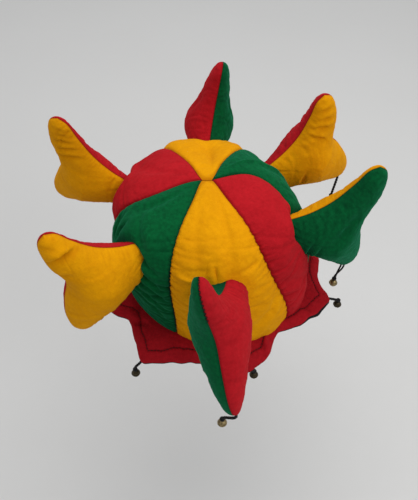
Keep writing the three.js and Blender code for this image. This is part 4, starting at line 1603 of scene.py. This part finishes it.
@dataclass
class Brim:
    """The brim of red velour, cut into points, topstitched and lined in black. Its sizes are in mm."""

    form: CrownForm
    thickness: float = 3
    lining: float = 1.5
    seam_inset: float = 2
    reach: float = 156
    droop: float = 16
    arch: float = 5
    corner_round: float = 4.5
    stitch_inset: float = 12
    stitch_stray: float = 1.1
    groove_depth: float = 0.9
    groove_width: float = 1.5
    pucker_depth: float = 0.35  # of the ripples beside the topstitching
    pucker_width: float = 6
    rumple_pitch: float = 8.5  # of its slack folds, in degrees
    rumple_height: float = 4
    lining_inset: float = 1.2
    lining_drop: float = 0.4  # how far the lining hangs away from the velour, beside the seam's gap
    turned_out: float = 3.6  # how far the lining rolls out under the right point
    turned_at: float = -24  # the direction of that place, in degrees from +X
    turned_wide: float = 9
    unevenness: float = 0.35  # how far its edge strays, in mm
    columns: int = 420
    rows: int = 44

    def __post_init__(self) -> None:
        """Draws the edge."""
        corners = np.array([self.corner(row) for row in BRIM_CORNERS])
        loop = np.vstack([corners, corners[:1]])
        fine = at_shares(loop, np.linspace(0, 1, 8 * self.columns + 1))[:-1]
        step = np.linalg.norm(fine[1] - fine[0])
        reach = int(3 * self.corner_round / step)
        weights = hump(np.arange(-reach, reach + 1) * step, self.corner_round * 1.2)
        weights /= weights.sum()
        soft = sum(w * np.roll(fine, k, axis=0) for k, w in zip(range(-reach, reach + 1), weights))
        closed = np.vstack([soft, soft[:1]])
        self.edge = at_shares(closed, np.linspace(0, 1, self.columns + 1))[:-1]
        self.round = 2 * np.pi * np.arange(self.columns) / self.columns
        uneven = np.sin(29 * self.round) + 0.7 * np.sin(47 * self.round + 1)
        uneven += 0.3 * np.sin(83 * self.round + 2)
        self.edge[:, :2] *= 1 + self.unevenness * uneven[:, None] / self.reach
        waves = np.sin(23 * self.round + 2) + 0.8 * np.sin(37 * self.round)
        self.edge[:, 2] += 3 * self.unevenness * waves

    def corner(self, row: BrimCorner) -> tuple[float, float, float]:
        """The place of a point or valley.

        Args:
            row: the corner.

        Returns:
            Its x, y and z, in mm.
        """
        turn = math.radians(row.turn)
        flat = self.reach * row.reach
        return flat * math.cos(turn), flat * math.sin(turn), -SEAM_GAP - self.droop * row.droop

    def height(self, edge_height: np.ndarray, share: np.ndarray) -> np.ndarray:
        """The height of the upper face at a share of the way from the rim to the edge, in mm."""
        fall = between(-SEAM_GAP, edge_height, np.clip(share, 0, 1) ** 1.4)
        return fall + self.arch * np.sin(np.pi * np.clip(share, 0, 1)) * np.clip(share, 0, 1)

    def from_edge(self, flat: np.ndarray) -> np.ndarray:
        """The distance of points from the brim's edge, seen from above.

        Args:
            flat: the x and y of the points.

        Returns:
            The distances, in mm.
        """
        line = self.edge[:, :2]
        points = flat.reshape(-1, 2)
        away = np.full(len(points), 1e9)
        for start, end in zip(line, np.roll(line, -1, axis=0)):
            side = end - start
            share = np.clip(((points - start) @ side) / (side @ side), 0, 1)
            away = np.minimum(away, np.linalg.norm(points - start - share[:, None] * side, axis=1))
        return away.reshape(flat.shape[:-1])

    def sheet(self, inset: float, puckers: bool) -> tuple[np.ndarray, np.ndarray]:
        """The points of a sheet's upper face, and their distance from its edge.

        Args:
            inset: how far its edge lies inside the brim's, in mm.
            puckers: whether it shows the topstitching.

        Returns:
            The points, by row from the head opening outwards, and the distances.
        """
        turn = np.arctan2(self.edge[:, 1], self.edge[:, 0])
        reach = np.hypot(self.edge[:, 0], self.edge[:, 1]) - inset
        if not puckers:
            aside = turn - math.radians(self.turned_at)
            reach += self.turned_out * hump(aside, math.radians(self.turned_wide))
        inner = self.form.head_radius + self.seam_inset
        share = np.concatenate([[-1.0, -0.5], 1 - (1 - np.linspace(0, 1, self.rows)) ** 1.25])[:, None]
        outwards = between(self.form.rim_radius, reach[None], share)
        inwards = between(self.form.rim_radius, inner, -share)
        flat = np.where(share >= 0, outwards, inwards)
        points = np.empty((*flat.shape, 3))
        points[..., 0], points[..., 1] = flat * np.cos(turn), flat * np.sin(turn)
        points[..., 2] = self.height(self.edge[None, :, 2], share)
        away = self.from_edge(points[..., :2])
        waves = 0.7 * np.sin(5 * turn + 1) * np.sin(points[..., 0] / 17)
        waves += 0.6 * np.sin(points[..., 1] / 13 + 2)
        points[..., 2] += waves * ease(0, 1, share) + self.rumples(turn, share)
        if puckers:
            beside = away - self.stitch_insets()
            ripple = np.sin(96 * self.round) + 0.6 * np.sin(61 * self.round + 1)
            points[..., 2] -= self.groove_depth * hump(beside, self.groove_width)
            points[..., 2] += self.pucker_depth * ripple * hump(beside, self.pucker_width)
        return points, away

    def rumples(self, turn: np.ndarray, share: np.ndarray) -> np.ndarray:
        """How far the slack folds of the brim, that run outwards from the rim, raise it.

        Args:
            turn: the turn of each column, in radians.
            share: the share of the way from the rim to the edge of each row.

        Returns:
            The height at each point, in mm.
        """
        rng = np.random.default_rng(5)
        height = np.zeros(np.broadcast(turn, share).shape)
        flatter = between(1, 0.45, ease(0.6, 1, share))
        for spot in np.radians(np.arange(-180, 180, self.rumple_pitch)):
            middle = spot + rng.normal(0, 0.05) + rng.normal(0, 0.10) * (share - 0.5)
            aside = (turn - middle + math.pi) % (2 * math.pi) - math.pi
            wide = rng.uniform(0.016, 0.04)
            tall = rng.normal(0, self.rumple_height)
            start = rng.uniform(-0.1, 0.3)
            height += tall * hump(aside, wide) * ease(start, start + 0.4, share) * flatter
        return height

    def stitch_insets(self) -> np.ndarray:
        """How far the topstitching, which strays, lies inside the edge at each column, in mm."""
        stray = np.sin(9 * self.round + 1) + 0.7 * np.sin(20 * self.round + 4)
        return self.stitch_inset + self.stitch_stray * stray

    def stitch_line(self, points: np.ndarray, away: np.ndarray) -> np.ndarray:
        """The line of the topstitching.

        Args:
            points: the points of the upper face.
            away: their distance from the edge.

        Returns:
            One point of the line for each column.
        """
        line = []
        for column, inset in enumerate(self.stitch_insets()):
            deep = np.nonzero(away[:, column] >= inset)[0]
            row = int(deep[-1]) if len(deep) else 2
            row = min(row, points.shape[0] - 2)
            low, high = away[row, column], away[row + 1, column]
            share = np.clip((inset - low) / (high - low), 0, 1)
            line.append(between(points[row, column], points[row + 1, column], share))
        return np.array(line)

    def slab(
        self,
        name: str,
        node: str,
        top: np.ndarray,
        away: np.ndarray,
        thickness: float,
        finish: Finish,
    ) -> bpy.types.Object:
        """Makes a sheet with a soft rounded edge.

        Args:
            name: its name.
            node: the CAD node that it stands for.
            top: the points of its upper face.
            away: their distance from the edge.
            thickness: its thickness.
            finish: its cloth.

        Returns:
            The piece.
        """
        roundness = 1 - np.sqrt(1 - (1 - np.clip(away / (0.6 * thickness), 0, 1)) ** 2)
        upper, lower = top.copy(), top.copy()
        upper[..., 2] -= 0.5 * thickness * roundness
        lower[..., 2] -= thickness * (1 - 0.5 * roundness)
        piece = Piece(name)
        # painted shade along the groove of the topstitching, on the velour and on the lining
        crease = 0.6 * hump(away - self.stitch_insets(), 1.4)
        faces = []
        for points in (upper, lower):
            numbers = numbered(*top.shape[:2], piece.add(points, [], crease))
            faces.append(np.concatenate([numbers, numbers[:, :1]], 1))
        piece.faces += [quads(faces[0]), quads(faces[1], True)]
        for row, flip in ((0, True), (-1, False)):
            piece.faces.append(quads(np.array([faces[0][row], faces[1][row]]), flip))
        return piece.make(node, finish, 70)

    def make(self) -> list[bpy.types.Object]:
        """Makes the brim, its lining and its topstitching.

        Returns:
            The three pieces.
        """
        top, away = self.sheet(0, True)
        brim = self.slab("brim_velour", "brim", top, away, self.thickness, BRIM_VELOUR)
        area = self.flat_area(top)
        below, lining_away = self.sheet(self.lining_inset, False)
        below[..., 2] -= self.thickness + SEAM_GAP + self.lining_drop
        lining = self.slab("brim_lining_cloth", "brim_lining", below, lining_away, self.lining, LINING)
        line = self.stitch_line(top, away)
        thread = StitchRow("brim_topstitch").make(np.vstack([line, line[:1]]))
        return [brim, lining, thread]

    def flat_area(self, top: np.ndarray) -> float:
        """The area of a sheet's upper face.

        Args:
            top: the points of the face.

        Returns:
            The area, in square metres.
        """
        step_out = np.diff(top, axis=0)[:, :-1]
        step_round = np.diff(top, axis=1)[:-1]
        return float(np.linalg.norm(np.cross(step_out, step_round), axis=-1).sum()) * MM * MM


THREAD_SIDES = 6


@dataclass
class StitchRow:
    """A row of thread stitches that lie on the cloth."""

    name: str
    stitch: float = 3.1  # its length, in mm
    gap: float = 0.9
    radius: float = 0.42

    def make(self, line: np.ndarray) -> bpy.types.Object:
        """Makes the stitches.

        Args:
            line: the line that they lie along, in mm.

        Returns:
            One piece with all the stitches.
        """
        piece = Piece(self.name)
        run = float(run_along(line)[-1])
        radii = self.radius * np.array([0.45, 0.95, 1, 0.95, 0.45])
        for number in range(int(run // (self.stitch + self.gap))):
            start = number * (self.stitch + self.gap)
            middle = at_shares(line, (start + np.linspace(0, self.stitch, len(radii))) / run)
            middle[:, 2] += self.radius * (0.2 + 0.9 * np.sin(np.linspace(0, np.pi, len(radii))))
            piece.add(*tube(middle, radii, THREAD_SIDES))
        return piece.make("", THREAD, 80)


@dataclass
class SeamThread:
    """The black thread that crosses a seam to and fro where it shows."""

    name: str
    pitch: float = 2.3  # from one crossing to the next, in mm
    reach: float = 1.5  # how far it goes to each side, in mm
    radius: float = 0.36
    lift: float = 0.9  # how far it stands off at the seam, in mm
    inside: tuple[float, float, float] = (0, 0, 40)  # a point that it faces away from

    def make(self, seam: np.ndarray, left: np.ndarray, right: np.ndarray) -> bpy.types.Object:
        """Makes the crossings along a seam.

        Args:
            seam: its line.
            left: a line beside it on the one cloth.
            right: a line beside it on the other.

        Returns:
            One piece with all the crossings.
        """
        piece = Piece(self.name)
        count = max(2, int(run_along(seam)[-1] // self.pitch))
        shares = np.arange(count) / (count - 1)
        middle = at_shares(seam, shares)
        sides = []
        for line in (left, right):
            away = at_shares(line, shares) - middle
            size = np.linalg.norm(away, axis=1, keepdims=True)
            sides.append(middle + away * np.minimum(1, self.reach / np.maximum(size, 1e-6)))
        above = np.cross(sides[0] - middle, np.gradient(middle, axis=0))
        above /= np.maximum(np.linalg.norm(above, axis=1, keepdims=True), 1e-9)
        above *= np.sign((above * (middle - self.inside)).sum(1, keepdims=True))
        radii = self.radius * np.array([0.5, 0.95, 1, 0.95, 0.5])
        for number in range(count - 1):
            start, end = (0, 1) if number % 2 else (1, 0)
            crossed = 0.5 * (middle[number] + middle[number + 1])
            ends = np.array([sides[start][number], crossed, sides[end][number + 1]])
            lift = np.array([0.1, self.lift, 0.1])[:, None] * above[number]
            line = at_shares(ends + lift, np.linspace(0, 1, len(radii)))
            piece.add(*tube(line, radii, THREAD_SIDES))
        return piece.make("", THREAD, 80)


def tube(line: np.ndarray, radii: np.ndarray, sides: int) -> tuple[np.ndarray, list[np.ndarray]]:
    """A closed tube along a line.

    Args:
        line: its middle.
        radii: its radius at each point.
        sides: how many sides it has.

    Returns:
        The points and the groups of faces.
    """
    tangent = np.gradient(line, axis=0)
    tangent /= np.linalg.norm(tangent, axis=1, keepdims=True)
    side = np.cross(tangent[0], [0.31, 0.17, 0.93])
    side /= np.linalg.norm(side)
    rings = []
    turns = 2 * np.pi * np.arange(sides) / sides
    for middle, ahead, radius in zip(line, tangent, radii):
        side = side - ahead * (side @ ahead)
        side /= np.linalg.norm(side)
        other = np.cross(ahead, side)
        rings.append(middle + radius * (np.cos(turns)[:, None] * side + np.sin(turns)[:, None] * other))
    points = np.array(rings)
    number = numbered(len(line), sides)
    after = np.roll(number, -1, axis=1)
    round_faces = np.stack([number[:-1], after[:-1], after[1:], number[1:]], -1).reshape(-1, 4)
    return points, [round_faces, number[:1, ::-1], number[-1:]]


@dataclass
class JingleBell:
    """A small round brass bell with a rim round its middle, crossed slots and a loop on top.

    Its sizes are in mm; the loop, the hole and the ball are given by their radius.
    """

    diameter: float = 11
    wall: float = 0.55
    rim: float = 0.45
    rim_width: float = 0.07  # in radians, seen from the bell's middle
    rim_inset: float = 0.35  # how far the body lies inside the rim
    top_inset: float = 0.1  # how much lower than round its top is
    slot: float = 0.9
    slot_depth: float = 0.28  # how far below the middle the slots start, as a share of the radius
    hole: float = 1.1
    loop: float = 1.35
    loop_height: float = 0.75
    wire: float = 0.42
    ball: float = 1.7
    ball_drop: float = 1.6
    sides: int = 40
    steps: int = 22

    def shell(self) -> bpy.types.Object:
        """The hollow body with its slots cut.

        Returns:
            The body, as an object of the scene.
        """
        radius = self.diameter / 2
        inner = radius - self.rim_inset - self.wall
        outside, inside = [], []
        for step in range(self.steps + 1):
            angle = math.pi * step / self.steps
            swell = self.rim * math.exp(-(((angle - math.pi / 2) / self.rim_width) ** 2))
            across = (radius - self.rim_inset + swell) * math.sin(angle)
            outside.append((across, -(radius - self.top_inset) * math.cos(angle)))
            back = math.pi * (1 - step / self.steps)
            inside.append((inner * math.sin(back), -inner * math.cos(back)))
        mesh = bpy.data.meshes.new("bell_body")
        shape = bmesh.new()
        for outline in (outside, inside):
            self.lathe(shape, outline)
        shape.to_mesh(mesh)
        shape.free()
        body = bpy.data.objects.new("bell_body", mesh)
        bpy.context.scene.collection.objects.link(body)
        for turn in (0, math.pi / 2):
            self.cut(body, turn)
        return body

    def lathe(self, shape: bmesh.types.BMesh, outline: list[tuple[float, float]]) -> None:
        """Adds a closed turned surface to a shape.

        Args:
            shape: what it is added to.
            outline: how far across and how far up its outline runs, in mm.
        """
        rings = []
        for across, up in outline:
            if across < 1e-6:
                rings.append([shape.verts.new((0, 0, up))] * self.sides)
                continue
            turns = [2 * math.pi * k / self.sides for k in range(self.sides)]
            rings.append([shape.verts.new((across * math.cos(t), across * math.sin(t), up)) for t in turns])
        for low, high in zip(rings, rings[1:]):
            for k in range(self.sides):
                corners = [low[k], low[(k + 1) % self.sides], high[(k + 1) % self.sides], high[k]]
                unique = list(dict.fromkeys(corners))
                if len(unique) >= 3:
                    shape.faces.new(unique)

    def cut(self, body: bpy.types.Object, turn: float) -> None:
        """Cuts one slot and its two round ends out of the body.

        Args:
            body: the hollow body.
            turn: the direction of the slot, in radians.
        """
        radius = self.diameter / 2
        through, top = 3 * radius, -self.slot_depth * radius
        shape = bmesh.new()
        box = bmesh.ops.create_cube(shape, size=1)["verts"]
        bmesh.ops.scale(shape, vec=(through, self.slot, radius), verts=box)
        bmesh.ops.translate(shape, vec=(0, 0, top - radius / 2), verts=box)
        mesh = bpy.data.meshes.new("bell_slot")
        shape.to_mesh(mesh)
        shape.free()
        holes = bmesh.new()
        sizes = {"segments": 16, "radius1": self.hole, "radius2": self.hole, "depth": through}
        bmesh.ops.create_cone(holes, cap_ends=True, **sizes)
        bmesh.ops.rotate(holes, matrix=Matrix(turning(1, 90).tolist()), verts=holes.verts)
        bmesh.ops.translate(holes, vec=(0, 0, top), verts=holes.verts)
        round_mesh = bpy.data.meshes.new("bell_hole")
        holes.to_mesh(round_mesh)
        holes.free()
        for tool_mesh in (mesh, round_mesh):
            tool = bpy.data.objects.new(tool_mesh.name, tool_mesh)
            bpy.context.scene.collection.objects.link(tool)
            tool.rotation_euler = (0, 0, turn)
            cutter = body.modifiers.new("cut", "BOOLEAN")
            cutter.operation = "DIFFERENCE"
            cutter.solver = "EXACT"
            cutter.object = tool
            bpy.context.view_layer.update()
            graph = bpy.context.evaluated_depsgraph_get()
            applied = bpy.data.meshes.new_from_object(body.evaluated_get(graph))
            body.modifiers.clear()
            body.data = applied
            bpy.data.objects.remove(tool)

    def template(self) -> tuple[np.ndarray, list[np.ndarray], np.ndarray]:
        """Makes a bell once, for all twelve.

        Returns:
            Its points round its own middle, in mm, the corners of its faces, and how dark each point is.
        """
        body = self.shell()
        mesh = body.data
        points = np.empty(len(mesh.vertices) * 3)
        mesh.vertices.foreach_get("co", points)
        points = points.reshape(-1, 3)
        faces = [np.array([list(face.vertices)]) for face in mesh.polygons]
        bpy.data.objects.remove(body)
        radius = self.diameter / 2
        dark = 0.8
        crease = dark * (np.linalg.norm(points, axis=1) < radius - 0.6)
        extra = Piece("bell_parts")
        turns = np.linspace(0, 2 * np.pi, 25)
        up = radius + self.loop_height + self.loop * np.sin(turns)
        extra.add(*tube(np.stack([self.loop * np.cos(turns), 0 * turns, up], -1), np.full(25, self.wire), 8))
        turns = np.pi * np.arange(9) / 8
        line = np.zeros((9, 3))
        line[:, 2] = -self.ball * np.cos(turns) - self.ball_drop
        extra.add(*tube(line, np.maximum(self.ball * np.sin(turns), 0.05), 12), dark)
        faces += [group + len(points) for group in extra.faces]
        return np.vstack([points, *extra.points]), faces, np.concatenate([crease, *extra.creases])


@dataclass
class BellTie:
    """A tie of two strands and the bell that hangs from it. Its sizes are in mm."""

    name: str
    start: np.ndarray
    direction: np.ndarray
    middle: np.ndarray  # of the bell
    parted: float  # how far the strands part halfway
    brass: AntiqueBrass
    length: float = 34
    strand: float = 2.3
    close: float = 0.7  # how far the strands part at the ends
    twists: float = 5
    slack_twists: float = 0.5  # where the strands part
    knot_radius: float = 1.8
    knot_height: tuple[float, float] = (-0.6, 2)
    knot_strand: float = 1.25  # half its thickness
    bell_radius: float = 5.5
    shank: float = 2.4
    steps: int = 32

    def route(self) -> np.ndarray:
        """The points of the tie's middle line, in mm: as much bow as its length needs.

        Returns:
            The points, from the end that is sewn on to the bell's loop.
        """
        end = self.middle + [0, 0, self.bell_radius + self.shank + SEAT_GAP]
        share = np.linspace(0, 1, self.steps + 1)[:, None]
        low, high = 0.0, self.length
        line = np.repeat(self.start[None], self.steps + 1, axis=0)
        for _ in range(20):
            bow = (low + high) / 2
            first = self.start + self.direction * bow
            above = end + [0, 0, min(bow, (self.start[2] - end[2]) / 2)]
            line = (
                (1 - share) ** 3 * self.start
                + 3 * (1 - share) ** 2 * share * first
                + 3 * (1 - share) * share**2 * above
                + share**3 * end
            )
            if run_along(line)[-1] < self.length:
                low = bow
            else:
                high = bow
        return line

    def make(self, template: tuple[np.ndarray, list[np.ndarray], np.ndarray]) -> list[bpy.types.Object]:
        """Makes the tie and its bell.

        Args:
            template: the bell's points, faces and creases.

        Returns:
            Both pieces.
        """
        points, faces, crease = template
        node = self.name.replace("tie", "bell", 1)
        bell = Piece(f"{node}_brass")
        bell.add(points @ turning(2, 37.0 * len(self.name)).T + self.middle, faces, crease)
        hung = bell.make(node, self.brass, 40)
        share = np.linspace(0, 1, self.steps + 1)
        line = at_shares(self.route(), share)
        cord = Piece(f"{self.name}_cord")
        tangent = np.gradient(line, axis=0)
        tangent /= np.linalg.norm(tangent, axis=1, keepdims=True)
        side = np.cross(tangent, [0.2, -0.9, 0.3])
        side /= np.linalg.norm(side, axis=1, keepdims=True)
        other = np.cross(tangent, side)
        gap = between(self.close, self.parted, np.sin(np.pi * share) ** 0.8)
        twists = self.twists if self.parted < 1 else self.slack_twists
        for strand in (0, math.pi):
            turn = 2 * np.pi * twists * share + strand
            middle = line + gap[:, None] * (np.cos(turn)[:, None] * side + np.sin(turn)[:, None] * other)
            cord.add(*tube(middle, np.full(len(line), self.strand / 2), 8))
        turns = np.linspace(0, 4 * np.pi, 49)
        up = np.linspace(*self.knot_height, len(turns))
        knot = np.stack([self.knot_radius * np.cos(turns), self.knot_radius * np.sin(turns), up], -1)
        cord.add(*tube(line[-1] + knot, np.full(len(turns), self.knot_strand), 8))
        tied = cord.make(self.name, CORD, 80)
        return [tied, hung]


@dataclass
class BellSet:
    """All the ties and bells of the hat. Sizes are in mm."""

    form: CrownForm
    brim: Brim
    length: float = 34
    inset: float = 0.4  # how far inside the brim's point its tie starts, as a share of the length
    tie_radius: float = 1.5

    def place(self, end: np.ndarray, turn: float, row: BellHang) -> np.ndarray:
        """The place of a bell's middle, from the end that its tie hangs at and the turn of outwards there."""
        offset = np.array([row.out, row.aside, -row.down]) * self.length
        return end + turning(2, turn) @ offset

    def make(self) -> list[bpy.types.Object]:
        """Makes them all.

        Returns:
            All the ties and bells.
        """
        template = JingleBell().template()
        made = []
        for row in HORN_BELLS:
            horn = next(horn for horn in self.form.horns if horn.pose.name == row.at)
            corner = horn.corners(horn.pose.saddle)[LOWER_TIP]
            tip = horn.placed(np.array([corner[0], 0, corner[1]]))
            downwards = horn.turned @ horn.tilt @ np.array([0, 0, -1.0])
            start = tip + downwards * (SEAT_GAP + self.tie_radius / 4)
            middle = self.place(tip, horn.pose.turn + horn.pose.swing, row)
            tie = BellTie(f"tie_horn_{row.at}", start, downwards, middle, row.parted, BRASS)
            made += tie.make(template)
        for row in BRIM_BELLS:
            point = next(corner for corner in BRIM_CORNERS if corner.point == row.at)
            edge = np.array(self.brim.corner(point))
            turn = math.radians(point.turn)
            depth = self.brim.thickness + SEAM_GAP + self.brim.lining + SEAT_GAP + self.tie_radius
            start = edge - self.inset * self.length * np.array([math.cos(turn), math.sin(turn), 0])
            reach = np.hypot(*edge[:2])
            share = (np.hypot(*start[:2]) - self.form.rim_radius) / (reach - self.form.rim_radius)
            start[2] = float(self.brim.height(np.array(edge[2]), np.array(share))) - depth
            middle = self.place(edge, point.turn, row)
            outwards = edge - [0, 0, depth + self.tie_radius] - start
            outwards /= np.linalg.norm(outwards)
            tie = BellTie(f"tie_brim_{row.at}", start, outwards, middle, row.parted, BRIM_BELL_BRASS)
            made += tie.make(template)
        return made


@dataclass
class Studio:
    """The camera, the pale floor and the soft light. Lengths are in metres."""

    elevation: float = 50  # of the camera over the horizon, in degrees
    distance: float = 0.8
    aim: float = 0.06  # the height of the point that the camera looks at
    lens: float = 46.08  # in mm
    shift: tuple[float, float] = (0.004, -0.0264)
    floor: float = -0.42
    floor_side: float = 8
    sky: tuple[float, float, float] = (0.96, 0.975, 1)
    sky_strength: float = 0.57

    def camera(self) -> None:
        """Sets the camera at the photograph's angle."""
        data = bpy.data.cameras.new("camera")
        data.lens = self.lens
        data.shift_x, data.shift_y = self.shift
        data.clip_start, data.clip_end = 0.01, 20
        shown = bpy.data.objects.new("camera", data)
        bpy.context.scene.collection.objects.link(shown)
        tilt = math.radians(self.elevation)
        shown.location = (0, -self.distance * math.cos(tilt), self.aim + self.distance * math.sin(tilt))
        shown.rotation_euler = (math.pi / 2 - tilt, 0, 0)
        bpy.context.scene.camera = shown

    def lamp(self, name: str, place: tuple[float, float, float], size: float, power: float) -> None:
        """Adds a soft square lamp that shines at the hat.

        Args:
            name: its name.
            place: where it hangs, in metres.
            size: its side, in metres.
            power: its power, in watts.
        """
        data = bpy.data.lights.new(name, "AREA")
        data.size, data.energy = size, power
        shown = bpy.data.objects.new(name, data)
        bpy.context.scene.collection.objects.link(shown)
        shown.location = place
        east, north, up = np.array(place) - [0, 0, self.aim]
        shown.rotation_euler = (math.atan2(math.hypot(east, north), up), 0, math.atan2(east, -north))

    def room(self) -> None:
        """Makes the floor and the even light of the room."""
        nodes = NodeTree("pale_floor")
        pale = nodes.blend(nodes.noise(3, 2), (0.63, 0.625, 0.61, 1), (0.66, 0.655, 0.64, 1))
        nodes.join("Base Color", pale)
        nodes.join("Roughness", nodes.spread(nodes.noise(40, 2), 0.3, 0.7, 0.6, 0.75))
        mesh = bpy.data.meshes.new("floor")
        half = self.floor_side / 2
        corners = [(-half, -half, 0), (half, -half, 0), (half, half, 0), (-half, half, 0)]
        mesh.from_pydata(corners, [], [(0, 1, 2, 3)])
        floor = bpy.data.objects.new("floor", mesh)
        floor.location = (0, 0, self.floor)
        mesh.materials.append(nodes.material)
        bpy.context.scene.collection.objects.link(floor)
        world = bpy.data.worlds.new("room")
        world.use_nodes = True
        light = world.node_tree.nodes["Background"].inputs
        light["Color"].default_value = (*self.sky, 1)
        light["Strength"].default_value = self.sky_strength
        bpy.context.scene.world = world
        self.lamp("ceiling", (0.1, 0.5, 1.6), 1.6, 16.5)
        self.lamp("window", (0.95, -0.75, 1.15), 1.1, 8)
        bpy.context.scene.view_settings.view_transform = "Standard"


def gore_seam(gores: list[GoreCloth], number: int, start: float, end: float) -> list[np.ndarray]:
    """A gore's own seam and the lines beside it.

    Args:
        gores: the gores.
        number: the gore's number.
        start: the share of the way down at which the seam starts to show its thread.
        end: the share of the way down at which it ends.

    Returns:
        The seam's line, a line on the gore and a line on the one before it.
    """
    own, before = gores[number].patch, gores[number - 1].patch
    rows = (own.rows >= start) & (own.rows <= end)
    beside = 9
    return [own.points[rows, 0], own.points[rows, beside], before.points[rows, -1 - beside]]


def horn_seam(halves: list[HornHalf], name: str) -> list[np.ndarray]:
    """The seam of a horn's outer edge, near its upper tip, and the lines beside it.

    Args:
        halves: the halves of all the horns.
        name: the horn's name.

    Returns:
        The seam's line, a line on its left half and a line on its right half.
    """
    left, right = (half.skin() for half in halves if half.horn.pose.name == name)
    columns, beside = slice(42, None), -7
    return [left[-1, columns], left[beside, columns], right[beside, columns]]


def main() -> None:
    """Builds the hat piece by piece."""
    logging.basicConfig(level=logging.INFO, format="%(message)s")
    studio = Studio()
    studio.camera()
    form = CrownForm()
    brim = Brim(form)
    made = BellSet(form, brim).make()
    gores = [GoreCloth(number, form) for number in range(len(GORES))]
    halves = [HornHalf(horn, side, form) for horn in form.horns for side in (1, -1)]
    Settling().settle([piece.patch for piece in (*gores, *halves)])
    for piece in (*gores, *halves):
        made += piece.make()
    made.append(SeamThread("crown_seam_thread").make(*gore_seam(gores, 0, 0.52, 0.97)))
    made.append(SeamThread("horn_seam_thread").make(*horn_seam(halves, "front")))
    made += brim.make()
    studio.room()
    total = 0
    for piece in made:
        faces = sum(len(face.vertices) - 2 for face in piece.data.polygons)
        total += faces
        log.info("%s: %d triangles", piece.name, faces)
    log.info("%d pieces, %d triangles", len(made), total)


if __name__ == "__main__":
    main()
